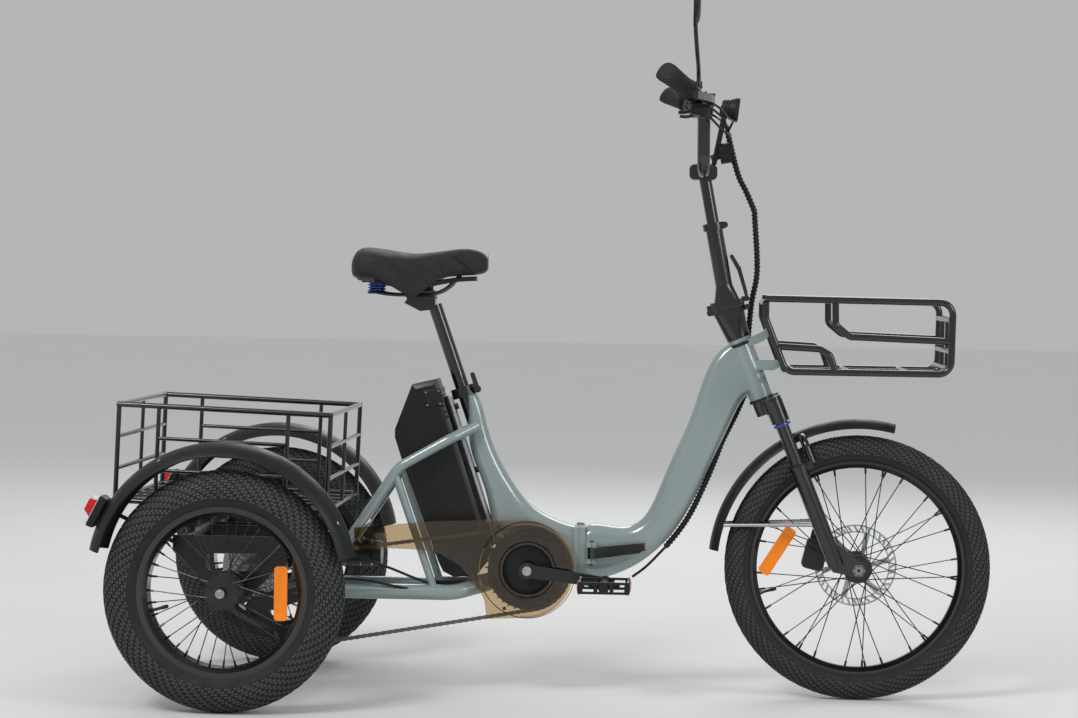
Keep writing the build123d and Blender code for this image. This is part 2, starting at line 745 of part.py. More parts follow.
def chain_spans(nodes, offset=0.0):
    """Tangent from each sprocket to the next, with the path shifted outward: start and end."""
    spans = []
    for first, second in zip(nodes, nodes[1:] + nodes[:1]):
        signed_first = first[3] * (first[2] - first[3] * offset)
        signed_second = second[3] * (second[2] - second[3] * offset)
        dx, dz = second[0] - first[0], second[1] - first[1]
        way = math.atan2(dz, dx) - math.asin((signed_second - signed_first) / math.hypot(dx, dz))
        nx, nz = -math.sin(way), math.cos(way)
        spans.append((
            (first[0] - signed_first * nx, first[1] - signed_first * nz),
            (second[0] - signed_second * nx, second[1] - signed_second * nz),
        ))
    return spans


def chain_arcs(nodes, spans):
    """Arc round each sprocket: start angle and swept angle, in radians."""
    arcs = []
    for index, node in enumerate(nodes):
        arrive, leave = spans[index - 1][1], spans[index][0]
        start = math.atan2(arrive[1] - node[1], arrive[0] - node[0])
        stop = math.atan2(leave[1] - node[1], leave[0] - node[0])
        sweep_angle = (stop - start) * node[3] % (2 * math.pi) * node[3]
        arcs.append((start, sweep_angle))
    return arcs


def chain_length(nodes):
    """Length of the whole path."""
    spans = chain_spans(nodes)
    arcs = chain_arcs(nodes, spans)
    straight = sum(math.dist(start, stop) for start, stop in spans)
    return straight + sum(abs(arc[1]) * node[2] for arc, node in zip(arcs, nodes))


# The cage swings until the path holds a whole even number of links.
cage_start = math.degrees(math.atan2(tension_pulley_z - guide_pulley_z,
                                     tension_pulley_x - guide_pulley_x))
chain_links = 2 * round(chain_length(chain_nodes(cage_start)) / chain_pitch / 2)
low_angle, high_angle = cage_start - 40, cage_start + 40
for _ in range(60):
    middle_angle = (low_angle + high_angle) / 2
    if chain_length(chain_nodes(middle_angle)) > chain_links * chain_pitch:
        low_angle = middle_angle
    else:
        high_angle = middle_angle
cage_angle = (low_angle + high_angle) / 2
sprockets = chain_nodes(cage_angle)
tension_x, tension_z = sprockets[2][0], sprockets[2][1]


def roller_places():
    """Every roller's place in the side view, in order from the rear cog's top."""
    spans = chain_spans(sprockets)
    arcs = chain_arcs(sprockets, spans)
    places = []
    for count in range(chain_links):
        travel = count * chain_pitch
        for index in (0, 1, 2, 3):
            start, stop = spans[index]
            straight = math.dist(start, stop)
            if travel <= straight:
                part = travel / straight
                places.append((start[0] + part * (stop[0] - start[0]),
                               start[1] + part * (stop[1] - start[1])))
                break
            travel -= straight
            following = (index + 1) % 4
            x, z, radius, sense = sprockets[following]
            begin, swept = arcs[following]
            if travel <= abs(swept) * radius:
                a = begin + sense * travel / radius
                places.append((x + radius * math.cos(a), z + radius * math.sin(a)))
                break
            travel -= abs(swept) * radius
    return places


def chain_loop(offset):
    """Closed outline of the path at a distance outside it."""
    spans = chain_spans(sprockets, offset)
    arcs = chain_arcs(sprockets, spans)
    with BuildLine() as outline:
        for index, (start, stop) in enumerate(spans):
            Line(start, stop)
            following = (index + 1) % 4
            x, z = sprockets[following][0], sprockets[following][1]
            begin, swept = arcs[following]
            radius = math.dist(stop, (x, z))
            middle = (x + radius * math.cos(begin + swept / 2), z + radius * math.sin(begin + swept / 2))
            ThreePointArc(stop, middle, spans[following][0])
    return outline.line


chain_rollers = roller_places()
with BuildPart() as chain:
    for shift in (-2.8, 2.8):
        with BuildSketch(side(-chain_line + shift)):
            add(make_face(chain_loop(4.0).edges()))
            add(make_face(chain_loop(-4.0).edges()), mode=Mode.SUBTRACT)
        extrude(amount=0.5, both=True)
    with BuildSketch(side(-chain_line)):
        with Locations(*chain_rollers):
            Circle(3.85)
    extrude(amount=2.5, both=True)
save(chain, "chain")


def tooth_phase(x, z, radius):
    """Angle of one tooth of a sprocket: halfway between two rollers lying on it."""
    on_it = [p for p in chain_rollers if abs(math.dist(p, (x, z)) - radius) < 0.05]
    first = on_it[len(on_it) // 2]
    return math.degrees(math.atan2(first[1] - z, first[0] - x)) + 180.0 * chain_pitch / (math.pi * radius) / 2


def sprocket_face(x, z, teeth, phase, hole):
    """Outline of a toothed wheel with a round hole."""
    radius = path_radius(teeth)
    with BuildSketch() as outline:
        with Locations((x, z)):
            Circle(radius - 4.1)
            with PolarLocations(radius - 4.6, teeth, start_angle=phase):
                with Locations(Rot(0, 0, -90)):
                    Trapezoid(4.6, 7.8, 80.5, align=(Align.CENTER, Align.MIN))
            if hole:
                Circle(hole, mode=Mode.SUBTRACT)
    return outline.sketch


def toothed(y, x, z, teeth, phase, hole, half_thickness=1.0):
    """A toothed wheel added to the open part."""
    with BuildSketch(side(y)) as section:
        add(sprocket_face(x, z, teeth, phase, hole))
    extrude(section.sketch, amount=half_thickness, both=True)


# ---------------------------------------------------------------- drivetrain
with BuildPart() as cassette:
    for index, teeth in enumerate(cog_teeth):
        radius = path_radius(teeth)
        phase = tooth_phase(0, rear_tyre_radius, radius) if index == 0 else 0.0
        toothed(-chain_line + index * cog_spacing, 0, rear_tyre_radius, teeth, phase, 0, 0.9)
    cross_rod(0, rear_tyre_radius, -57, -16, 17.0)
    cross_rod(0, rear_tyre_radius, -60, -10, half_shaft_radius + running_fit, Mode.SUBTRACT)
save(cassette, "cassette")

with BuildPart() as chainring:
    ring_radius = path_radius(chainring_teeth)
    toothed(-chain_line, crank_x, crank_z, chainring_teeth,
            tooth_phase(crank_x, crank_z, ring_radius), 60)
    with BuildSketch(side(-chain_line)):
        with Locations((crank_x, crank_z)):
            with PolarLocations(36, 5, start_angle=crank_angle + 36):
                Rectangle(64, 15)
            Circle(20)
    extrude(amount=2, both=True)
    cross_rod(crank_x, crank_z, -39, -84, 14.0)
    cross_rod(crank_x, crank_z, -30, -90, spindle_radius, Mode.SUBTRACT)
save(chainring, "chainring")

with BuildPart() as cranks:
    cross_rod(crank_x, crank_z, -97, 97, spindle_radius)
    for hand, turn in ((-1, 0.0), (1, 180.0)):
        plane = side(hand * crank_line)
        a = math.radians(crank_angle + turn)
        eye = (crank_x + crank_length * math.cos(a), crank_z + crank_length * math.sin(a))
        with BuildSketch(plane):
            with BuildLine():
                Polyline(
                    (crank_x - 13 * math.sin(a), crank_z + 13 * math.cos(a)),
                    (eye[0] - 10 * math.sin(a), eye[1] + 10 * math.cos(a)),
                    (eye[0] + 10 * math.sin(a), eye[1] - 10 * math.cos(a)),
                    (crank_x + 13 * math.sin(a), crank_z - 13 * math.cos(a)), close=True,
                )
            make_face()
            with Locations(eye):
                Circle(13)
        extrude(amount=6, both=True)
        cross_rod(crank_x, crank_z, hand * 84, hand * 100, 16.0)
        cross_rod(eye[0], eye[1], hand * 80, hand * 110, 6.0 + running_fit, Mode.SUBTRACT)
save(cranks, "cranks")

for hand, turn, name in ((-1, 0.0, "right"), (1, 180.0, "left")):
    a = math.radians(crank_angle + turn)
    px, pz = crank_x + crank_length * math.cos(a), crank_z + crank_length * math.sin(a)
    with BuildPart() as pedal:
        cross_rod(px, pz, hand * 87, hand * 190, 6.0)
        with BuildSketch(side(hand * 147)):
            with Locations((px, pz)):
                RectangleRounded(98, 24, 8)
        extrude(amount=43, both=True)
        with BuildSketch(Plane.XY.offset(pz - 30)):
            for shift in (-28, 28):
                with Locations((rear_axle_x + px + shift, hand * 147)):
                    Rectangle(30, 66)
        extrude(amount=60, mode=Mode.SUBTRACT)
        for shift in (-51, 51):
            with BuildSketch(side(hand * 147)):
                with Locations((px + shift, pz)):
                    Rectangle(4, 16)
            extrude(amount=32, both=True)
    save(pedal, f"{name}_pedal")

with BuildPart() as derailleur:
    with BuildSketch(side(-63)):
        with BuildLine():
            Polyline((130, 212), (118, 180), (12, 146), (-2, 158), (2, 176), close=True)
        make_face()
    extrude(amount=3, both=True)
    with BuildSketch(side(-60)):
        with Locations((guide_pulley_x + 6, guide_pulley_z + 2)):
            RectangleRounded(34, 24, 6)
    extrude(amount=2.4, both=True)
    for y in (-56.8, -43.2):
        with BuildSketch(side(y)):
            with Locations((guide_pulley_x, guide_pulley_z), (tension_x, tension_z)):
                Circle(12)
            with BuildLine():
                ux, uz = math.cos(math.radians(cage_angle)), math.sin(math.radians(cage_angle))
                Polyline(
                    (guide_pulley_x - 9 * uz, guide_pulley_z + 9 * ux),
                    (tension_x - 9 * uz, tension_z + 9 * ux),
                    (tension_x + 9 * uz, tension_z - 9 * ux),
                    (guide_pulley_x + 9 * uz, guide_pulley_z - 9 * ux), close=True,
                )
            make_face()
        extrude(amount=0.8, both=True)
    cross_rod(guide_pulley_x, guide_pulley_z, -66, -42, 4.0)
    cross_rod(tension_x, tension_z, -58.5, -41.5, 4.0)
save(derailleur, "derailleur")

for name, x, z in (("guide", guide_pulley_x, guide_pulley_z), ("tension", tension_x, tension_z)):
    with BuildPart() as pulley:
        toothed(-chain_line, x, z, pulley_teeth, tooth_phase(x, z, path_radius(pulley_teeth)),
                4.0 + running_fit)
        bearing(x, -chain_line, z, 4.0 + running_fit, 9.0, 8.0)
    save(pulley, f"{name}_pulley")

guard_y = -81.0
with BuildPart() as chain_guard:
    with BuildSketch(side(guard_y)):
        with BuildLine():
            Polyline((466, 151), (461, 186), (447, 215), (412, 253), (373, 275), (334, 282), (256, 284),
                     (221, 278), (209, 287), (206, 322), (352, 337), (449, 341), (520, 341))
            ThreePointArc((520, 341), (633, 247), (530, 154))
            Line((530, 154), (466, 151))
        make_face()
        with Locations((crank_x, crank_z)):
            Circle(46, mode=Mode.SUBTRACT)
    extrude(amount=1, both=True)
    with BuildSketch(side(guard_y + 1)):
        with BuildLine():
            Line((352, 337), (449, 341))
            Line((449, 341), (520, 341))
            ThreePointArc((520, 341), (633, 247), (530, 154))
            Line((530, 154), (530, 156))
            ThreePointArc((530, 156), (631, 247), (520, 339))
            Line((520, 339), (449, 339))
            Line((449, 339), (352, 335))
            Line((352, 335), (352, 337))
        make_face()
    extrude(amount=-18)
    cross_rod(221, 299, guard_y, -62, 5.0)
    cross_rod(486, 331, guard_y, -22, 4.5)
save(chain_guard, "chain_guard")

# ---------------------------------------------------------------- front half of the frame
front_sections = (
    (hinge_x + 11, 276, 0.0, 96, frame_width),
    (741, 292, 22.0, 77, frame_width),
    (786, 324, 48.0, 63, 54),
    (826, 391, 64.5, 70, 54),
    (868, 486, 69.7, 74, 54),
    (907, 583, 64.0, 82, 50),
    (962, 641, 22.4, 118, 36),
)
basket_tabs = (
    ((955, 680), (955, 695), (998, 717), (1008, 711), (990, 694)),
    ((968, 640), (968, 657), (1021, 657), (1030, 648), (1010, 638)),
)
with BuildPart() as front_frame:
    loft(tube_sections(front_sections))
    rod(steering_point(0), steering_point(head_tube_length), head_tube_radius)
    rod(steering_point(-5), steering_point(head_tube_length + 5), steerer_radius + 4, Mode.SUBTRACT)
    for low in (0.0, head_tube_length - 14):
        with BuildSketch(across(steering_point(low), head_angle)):
            Circle(steerer_radius + 5)
            Circle(steerer_radius + running_fit, mode=Mode.SUBTRACT)
        extrude(amount=14)
    with BuildSketch(Plane.XY.offset(hinge_low_z)):
        with Locations((rear_axle_x + hinge_x + body_gap + 5.8, -0.5)):
            Rectangle(11.6, 59)
    extrude(amount=hinge_high_z - hinge_low_z)
    with BuildSketch(Plane.XY.offset(259.4)):
        with Locations((rear_axle_x + hinge_x + body_gap + 4.8, 32)):
            Rectangle(9.6, 16)
        with Locations((rear_axle_x + hinge_x, hinge_pin_y)):
            Circle(10)
    extrude(amount=37.2)
    rod(spot(hinge_x, hinge_pin_y, 220), spot(hinge_x, hinge_pin_y, 340),
        4 + running_fit, Mode.SUBTRACT)
    for hand in (-1, 1):
        for outline in basket_tabs:
            with BuildSketch(side(hand * 17)):
                with BuildLine():
                    Polyline(*outline, close=True)
                make_face()
            extrude(amount=2, both=True)
    for z in (262, 294):
        with BuildSketch(Plane.XY.offset(z)):
            with Locations((rear_axle_x + 664, -33)):
                Rectangle(20, 16)
        extrude(amount=5, both=True)
    rod(spot(665, -38, 240), spot(665, -38, 320), 3.0 + running_fit, Mode.SUBTRACT)
save(front_frame, "front_frame")

with BuildPart() as frame_latch_lever:
    rod(spot(665, -38, 254), spot(665, -38, 302), 3.0)
    rod(spot(665, -38, 267 + body_gap), spot(665, -38, 289 - body_gap), 8.0)
    with BuildSketch(side(-42)):
        with BuildLine():
            Polyline((663, 268), (663, 288), (700, 292), (768, 301), (770, 286), (702, 272), close=True)
        make_face()
    extrude(amount=8)
save(frame_latch_lever, "frame_latch_lever")

# ---------------------------------------------------------------- front basket
with BuildPart() as front_basket:
    tube = front_basket_tube
    for hand in (-1, 1):
        y = hand * front_basket_half
        bent_tube([spot(991, y, 778), spot(1343, y, 775), spot(1341, y, 640), spot(1031, y, 640),
                   spot(991, y, 741), spot(991, y, 770)], tube, 24)
        bent_tube([spot(1122, y, 776), spot(1123, y, 730), spot(1150, y, 708), spot(1341, y, 702)],
                  tube, 14)
        bent_tube([spot(1008, y, 688), spot(1094, y, 684), spot(1113, y, 673), spot(1125, y, 640)],
                  tube, 9)
    for x, z in ((991, 770), (1341, 743), (1341, 683), (1045, 640), (1150, 640), (1262, 640),
                 (1002, 714), (1025, 652), (1335, 650)):
        cross_rod(x, z, -front_basket_half, front_basket_half, tube - 0.5)
    for y in (-45, 45):
        rod(spot(1027, y, 640), spot(1341, y, 640), 4.0)
        rod(spot(1341, y, 640), spot(1341, y, 743), 4.0)
save(front_basket, "front_basket")

# ---------------------------------------------------------------- fork and front wheel fittings
crown_x_axis = (math.sin(math.radians(head_angle)), 0, math.cos(math.radians(head_angle)))
crown_z_axis = (-math.cos(math.radians(head_angle)), 0, math.sin(math.radians(head_angle)))


def steering_plane(along):
    """Plane square to the steering axis: its X runs ahead, its Y to the left."""
    return Plane(origin=steering_point(along), x_dir=crown_x_axis, z_dir=crown_z_axis)


with BuildPart() as fork_crown:
    rod(steering_point(-8), steering_point(head_tube_length + 26), steerer_radius)
    rod(steering_point(-3.5), steering_point(-body_gap), 20.0)
    with BuildSketch(steering_plane(-32)):
        with Locations((2, 0)):
            RectangleRounded(46, 70, 14)
        for hand in (-1, 1):
            with Locations((fork_offset - 2, hand * (fork_leg_y - 8))):
                RectangleRounded(38, 46, 15)
    extrude(amount=28.5)
    for hand in (-1, 1):
        y = hand * fork_leg_y
        rod(steering_point(-54, fork_offset, y), steering_point(-10, fork_offset, y), 18.0)
        rod(steering_point(-190, fork_offset, y), steering_point(-20, fork_offset, y), stanchion_radius)
save(fork_crown, "fork_crown")

front_axle_along = (front_z - head_tube_z) * math.sin(math.radians(head_angle)) - (
    front_x - head_tube_x) * math.cos(math.radians(head_angle))
front_axle_ahead = (front_z - head_tube_z) * math.cos(math.radians(head_angle)) + (
    front_x - head_tube_x) * math.sin(math.radians(head_angle))
arch_along, arch_ahead = -98.0, 47.0

with BuildPart() as fork_lowers:
    for hand in (-1, 1):
        y = hand * fork_leg_y
        rod(steering_point(lower_leg_bottom, fork_offset, y),
            steering_point(lower_leg_top, fork_offset, y), lower_leg_radius)
        rod(steering_point(lower_leg_top - 10, fork_offset, y),
            steering_point(lower_leg_top, fork_offset, y), 18.0)
        with BuildSketch(steering_plane(lower_leg_top - 18)):
            with Locations((fork_offset + 15, hand * 58)):
                Rectangle(26, 12)
        extrude(amount=16)
    with BuildLine() as arch_route:
        FilletPolyline(
            steering_point(-150, arch_ahead, -56), steering_point(arch_along, arch_ahead, -50),
            steering_point(arch_along, arch_ahead, 50), steering_point(-150, arch_ahead, 56),
            radius=26,
        )
    with BuildSketch(Plane(origin=arch_route.line @ 0, z_dir=arch_route.line % 0)):
        Circle(7.0)
    sweep(path=arch_route.line)
    for hand in (-1, 1):
        y = hand * 54
        with BuildSketch(side(y)):
            with BuildLine():
                corners = [
                    steering_point(lower_leg_bottom - 8, fork_offset - 11),
                    steering_point(lower_leg_bottom + 50, fork_offset - 11),
                    steering_point(lower_leg_bottom + 50, fork_offset + 12),
                    steering_point(front_axle_along + 14, front_axle_ahead + 9),
                    steering_point(front_axle_along - 8, front_axle_ahead + 5),
                    steering_point(front_axle_along - 10, front_axle_ahead - 10),
                ]
                Polyline(*[(p[0] - rear_axle_x, p[2]) for p in corners], close=True)
            make_face()
            with Locations((front_x, front_z)):
                Circle(15)
        extrude(amount=4, both=True)
        cross_rod(front_x, front_z, hand * 44.4, hand * 51, 9.0)
        cross_rod(front_x, front_z, hand * 57, hand * 64, 9.5)
        rod(steering_point(-243, fork_offset, hand * fork_leg_y),
            steering_point(-120, fork_offset, hand * fork_leg_y), stanchion_radius + running_fit,
            Mode.SUBTRACT)
    cross_rod(front_x, front_z, -64, 64, front_axle_radius)
save(fork_lowers, "fork_lowers")

with BuildPart() as front_fender:
    section = fender_section(radial(front_x, 0, front_z, front_fender_start), front_fender_radius,
                             front_fender_width, 18.0, 2.6)
    revolve(section, axle(front_x, 0, front_z), front_fender_end - front_fender_start)
    for hand in (-1, 1):
        rim_spot = around(front_x, front_z, front_fender_radius - 17.2, 163.0, hand * 30.0)
        middle = steering_point(-262, fork_offset - 14, hand * 48)
        rod(rim_spot, middle, 3.5)
        rod(middle, steering_point(-262, fork_offset, hand * 60), 3.5)
save(front_fender, "front_fender")

with BuildPart() as front_brake_caliper:
    lean = math.radians(166)
    way = (math.cos(lean), 0, math.sin(lean))
    inner = Plane(origin=spot(front_x, 28.7, front_z), x_dir=way, z_dir=(0, -1, 0))
    with BuildSketch(inner):
        with Locations((82, 0)):
            RectangleRounded(44, 60, 10)
    extrude(amount=-15.6)
    with BuildSketch(Plane(origin=spot(front_x, front_disc_y, front_z), x_dir=way, z_dir=(0, -1, 0))):
        with Locations((66, 0)):
            Rectangle(36, 70)
    extrude(amount=2.4, both=True, mode=Mode.SUBTRACT)
    with BuildSketch(Plane(origin=spot(front_x, 44.3, front_z), x_dir=way, z_dir=(0, -1, 0))):
        with Locations((86, -22)):
            Rectangle(26, 46)
    extrude(amount=-5)
save(front_brake_caliper, "front_brake_caliper")

# ---------------------------------------------------------------- folding stem and handlebar post
stem_gap_z = 760.0
hinge_ear = 36.0  # from the post's axis back to the stem hinge pin
with BuildPart() as stem_base:
    with BuildSketch(steering_plane(head_tube_length + body_gap)):
        Circle(23)
    with BuildSketch(across(post_point(-12), post_angle)):
        RectangleRounded(44, 60, 14)
    loft()
    rod(steering_point(head_tube_length - 1), steering_point(head_tube_length + 26), steerer_radius,
        Mode.SUBTRACT)
    with BuildSketch(across(post_point(-12), post_angle)):
        RectangleRounded(46, 66, 12)
    extrude(amount=11.6)
    with BuildSketch(across(post_point(-20), post_angle)):
        with Locations((0, hinge_ear)):
            Rectangle(17, 20)
    extrude(amount=22, mode=Mode.SUBTRACT)
    for hand in (-1, 1):
        rod(post_point(-6, -hinge_ear, hand * 8.5), post_point(-6, -hinge_ear, hand * 20), 5.6)
        with BuildSketch(across(post_point(-12), post_angle)):
            with Locations((hand * 14, hinge_ear - 4)):
                Rectangle(11, 10)
        extrude(amount=11.6)
    rod(post_point(-6, -hinge_ear, -20), post_point(-6, -hinge_ear, 20), 3.0)
    rod(post_point(-6, 37, -16), post_point(-6, 37, 16), 5.5)
save(stem_base, "stem_base")

with BuildPart() as stem_post:
    with BuildSketch(across(post_point(0), post_angle)):
        RectangleRounded(46, 66, 12)
    extrude(amount=12)
    with BuildSketch(across(post_point(-6), post_angle)):
        with Locations((0, hinge_ear - 1)):
            Rectangle(16, 11)
    extrude(amount=14)
    rod(post_point(-6, -hinge_ear, -8), post_point(-6, -hinge_ear, 8), 6.5)
    with BuildSketch(across(post_point(10), post_angle)):
        RectangleRounded(38, 50, 12)
    with BuildSketch(across(post_point(42), post_angle)):
        Circle(post_radius)
    loft()
    rod(post_point(40), post_point(post_length), post_radius)
    rod(post_point(post_length - 14), post_point(post_length), 21.0)
    rod(post_point(post_length - 7, 22, -14), post_point(post_length - 7, 22, 14), 6.0)
    rod(post_point(30), post_point(post_length + 2), inner_post_radius + running_fit, Mode.SUBTRACT)
    rod(post_point(-6, -hinge_ear, -12), post_point(-6, -hinge_ear, 12), 3.0 + running_fit,
        Mode.SUBTRACT)
    with BuildSketch(across(post_point(5), post_angle)):
        for shift in (-11, 11):
            with Locations((shift, -36)):
                Rectangle(6, 14)
    extrude(amount=10)
    rod(post_point(10, 39, -14), post_point(10, 39, 14), 5.0)
    rod(post_point(10, 39, -20), post_point(10, 39, 20), 2.5 + running_fit, Mode.SUBTRACT)
    rod(post_point(10, 39, -8 - body_gap), post_point(10, 39, 8 + body_gap), 6.0, Mode.SUBTRACT)
save(stem_post, "stem_post")

with BuildPart() as stem_latch_lever:
    rod(post_point(10, 39, -14), post_point(10, 39, 14), 2.5)
    rod(post_point(10, 39, -8), post_point(10, 39, 8), 4.5)
    with BuildSketch(side()):
        with BuildLine():
            Polyline((954.8, 774.5), (960.5, 775), (958, 792), (945, 836), (928, 863), (922, 859),
                     (938, 831), (949, 797), (953.6, 782), close=True)
        make_face()
    extrude(amount=8, both=True)
save(stem_latch_lever, "stem_latch_lever")

bar_clamp = (869.0, 1020.0)
with BuildPart() as handlebar_post:
    rod(post_point(102), post_point(post_length + 92), inner_post_radius)
    rod(post_point(100), post_point(post_length + 80), inner_post_radius - 2.5, Mode.SUBTRACT)
    with BuildSketch(side()):
        with Locations(Location((bar_clamp[0], bar_clamp[1], 0), (0, 0, 0))):
            RectangleRounded(54, 30, 10)
    extrude(amount=24, both=True)
    cross_rod(bar_clamp[0], bar_clamp[1], -40, 40, bar_tube, Mode.SUBTRACT)
save(handlebar_post, "handlebar_post")

bar_end = (800.0, 300.0, 1190.0)
with BuildPart() as handlebar:
    half_route = [(842, 170, 1163), (868, 92, 1143), (869, 78, 1020)]
    route = [spot(bar_end[0], -bar_end[1], bar_end[2])]
    route += [spot(x, -y, z) for x, y, z in half_route]
    route += [spot(x, y, z) for x, y, z in reversed(half_route)]
    route += [spot(*bar_end)]
    bent_tube(route, bar_tube, [60, 34, 34, 34, 34, 60])
save(handlebar, "handlebar")

grip_start = (842.0, 170.0, 1163.0)
with BuildPart() as grips:
    for hand in (-1, 1):
        start = Vector(*spot(grip_start[0], hand * grip_start[1], grip_start[2]))
        stop = Vector(*spot(bar_end[0], hand * bar_end[1], bar_end[2]))
        way = (stop - start).normalized()
        rod(tuple(start + way * 22), tuple(stop + way * 6), 17.0)
        rod(tuple(start + way * 22), tuple(start + way * 27), 20.0)
        rod(tuple(start + way * 10), tuple(stop), bar_tube, Mode.SUBTRACT)
save(grips, "grips")


def on_bar(part, hand, across_bar=0.0, lift=0.0):
    """World point along the straight bend of the bar toward a grip, from 0 to 1."""
    x = 868 + part * (842 - 868) + across_bar
    y = 92 + part * (170 - 92)
    z = 1143 + part * (1163 - 1143) + lift
    return spot(x, hand * y, z)


lever_pivots = {}
with BuildPart() as bar_controls:
    for hand in (-1, 1):
        start, stop = Vector(*on_bar(0.72, hand)), Vector(*on_bar(1.0, hand))
        rod(tuple(start), tuple(stop), 17.0)
        rod(tuple(start), tuple(stop), bar_tube, Mode.SUBTRACT)
        lever_pivots[hand] = on_bar(0.86, hand, 34.0, -10.0)
        px, py, pz = lever_pivots[hand]
        arm_start = Vector(*on_bar(0.86, hand, 15.5, -5.0))
        for shift in (-9.4, 9.4):
            with BuildSketch(Plane(origin=(px - 10, py, pz + shift), x_dir=(1, 0, 0), z_dir=(0, 0, 1))):
                SlotOverall(38, 16)
            extrude(amount=2.0, both=True)
        rod((px, py, pz - 11), (px, py, pz + 11), 2.5)
    rod(spot(900, 0, 1056), spot(922, 0, 1060), 20.0)
    rod(spot(884, 0, 1046), spot(904, 0, 1056), 7.0)
    start, stop = Vector(*on_bar(0.36, -1)), Vector(*on_bar(0.54, -1))
    rod(tuple(start), tuple(stop), 15.5)
    rod(tuple(start), tuple(stop), bar_tube, Mode.SUBTRACT)
    fx, fy, fz = on_bar(0.45, -1)
    rod((fx, fy, fz + 13), (fx, fy, fz + 22), 6.0)
    rod((fx, fy, fz + 15), (fx, fy, fz + 34), 2.5)
save(bar_controls, "bar_controls")

for hand, name in ((-1, "right"), (1, "left")):
    px, py, pz = lever_pivots[hand]
    with BuildPart() as brake_lever:
        with BuildSketch(Plane(origin=(px, py, pz), x_dir=(1, 0, 0), z_dir=(0, 0, 1))):
            with BuildLine():
                Polyline((7, -hand * 8), (-7, -hand * 8), (-6, hand * 10), (-12, hand * 46),
                         (-26, hand * 100), (-34, hand * 128), (-24, hand * 130), (-15, hand * 102),
                         (1, hand * 46), (8, hand * 10), close=True)
            make_face()
        extrude(amount=7, both=True)
        rod((px, py, pz - 12), (px, py, pz + 12), 2.5 + running_fit, Mode.SUBTRACT)
    save(brake_lever, f"{name}_brake_lever")

with BuildPart() as headlight:
    rod(spot(902, 0, 1146), spot(936, 0, 1142), 24.0)
    with BuildSketch(side()):
        with BuildLine():
            Polyline((884, 1035), (894, 1035), (912, 1124), (912, 1148), (903, 1150), (901, 1124),
                     close=True)
        make_face()
    extrude(amount=7, both=True)
save(headlight, "headlight")

with BuildPart() as mirror:
    fx, fy, fz = on_bar(0.45, -1)
    rod((fx, fy, fz + 22 + body_gap), (fx, fy, fz + 36), 8.0)
    bent_tube([(fx, fy, fz + 32), (fx, fy, fz + 52), (fx - 4, fy - 54, fz + 76),
               (fx - 8, fy - 66, fz + 140)], 4.0, [12, 24])
    with BuildSketch(Plane(origin=(fx - 12, fy - 66, fz + 180), x_dir=(0, 1, 0), z_dir=(1, 0, 0))):
        Ellipse(62, 46)
    extrude(amount=14)
    rod((fx, fy, fz + 15), (fx, fy, fz + 35), 2.5 + running_fit, Mode.SUBTRACT)
save(mirror, "mirror")

loom_route = (
    (915, 30, 1100), (936, 32, 1021), (953, 33, 986), (970, 34, 948), (977, 35, 855),
    (976, 36, 813), (968, 37, 770), (962, 35, 701), (965, 30.35, 640), (958, 31, 590),
)
with BuildPart() as cable_loom:
    with BuildLine() as loom_line:
        Spline(*[spot(x, y, z) for x, y, z in loom_route])
    with BuildSketch(Plane(origin=loom_line.line @ 0, z_dir=loom_line.line % 0)):
        Circle(7.0)
    sweep(path=loom_line.line)
save(cable_loom, "cable_loom")
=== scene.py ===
"""A folding electric tricycle: its camera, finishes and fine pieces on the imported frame.

Lengths are metres. +X is forward, +Y is the rider's left and +Z is up. Places in the side view
are measured forward from the rear axle and up from the ground, as in the part's own source.
"""
from __future__ import annotations

import logging
import math
from dataclasses import dataclass, field
from enum import Enum
from itertools import product
from typing import Callable, Iterable, Sequence

import bmesh
import bpy
from mathutils import Matrix, Vector

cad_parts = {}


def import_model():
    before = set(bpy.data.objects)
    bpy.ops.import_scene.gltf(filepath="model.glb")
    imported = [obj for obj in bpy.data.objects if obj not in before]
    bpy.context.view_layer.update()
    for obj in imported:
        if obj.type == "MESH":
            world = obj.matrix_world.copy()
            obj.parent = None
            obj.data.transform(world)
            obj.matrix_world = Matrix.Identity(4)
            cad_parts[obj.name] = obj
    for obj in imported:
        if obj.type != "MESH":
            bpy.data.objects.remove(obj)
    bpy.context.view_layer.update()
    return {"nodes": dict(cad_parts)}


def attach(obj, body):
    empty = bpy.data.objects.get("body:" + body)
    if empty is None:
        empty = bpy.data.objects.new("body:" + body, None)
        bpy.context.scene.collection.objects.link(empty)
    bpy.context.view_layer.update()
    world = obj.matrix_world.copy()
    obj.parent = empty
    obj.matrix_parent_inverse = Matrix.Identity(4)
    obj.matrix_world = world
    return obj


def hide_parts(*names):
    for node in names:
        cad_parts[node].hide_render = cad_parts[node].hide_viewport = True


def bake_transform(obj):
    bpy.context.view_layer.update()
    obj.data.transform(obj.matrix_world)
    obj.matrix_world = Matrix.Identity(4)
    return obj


logging.basicConfig(level=logging.INFO, format="%(message)s")
log = logging.getLogger("tricycle")

Point = tuple[float, float, float]
Colour = tuple[float, float, float]
Pair = tuple[float, float]
Piece = bpy.types.Object
Socket = bpy.types.NodeSocket

# The rear axle in metres, then places in the side view in millimetres, and angles in degrees.
REAR_AXLE_X = -0.584665
FRONT_AXLE_MM = (1180.0, 257.5)
CRANK_MM = (543.0, 247.0)
CRANK_ARM_MM = 152.0
CRANK_TURN = -7.5
PEDAL_Y_MM = 147
HEAD_FOOT_MM = (989, 584)
HEAD_ANGLE = 68
BATTERY_ANGLE = 71.4
SIDE = {-1: "right", 1: "left"}
HANDS = tuple(SIDE)


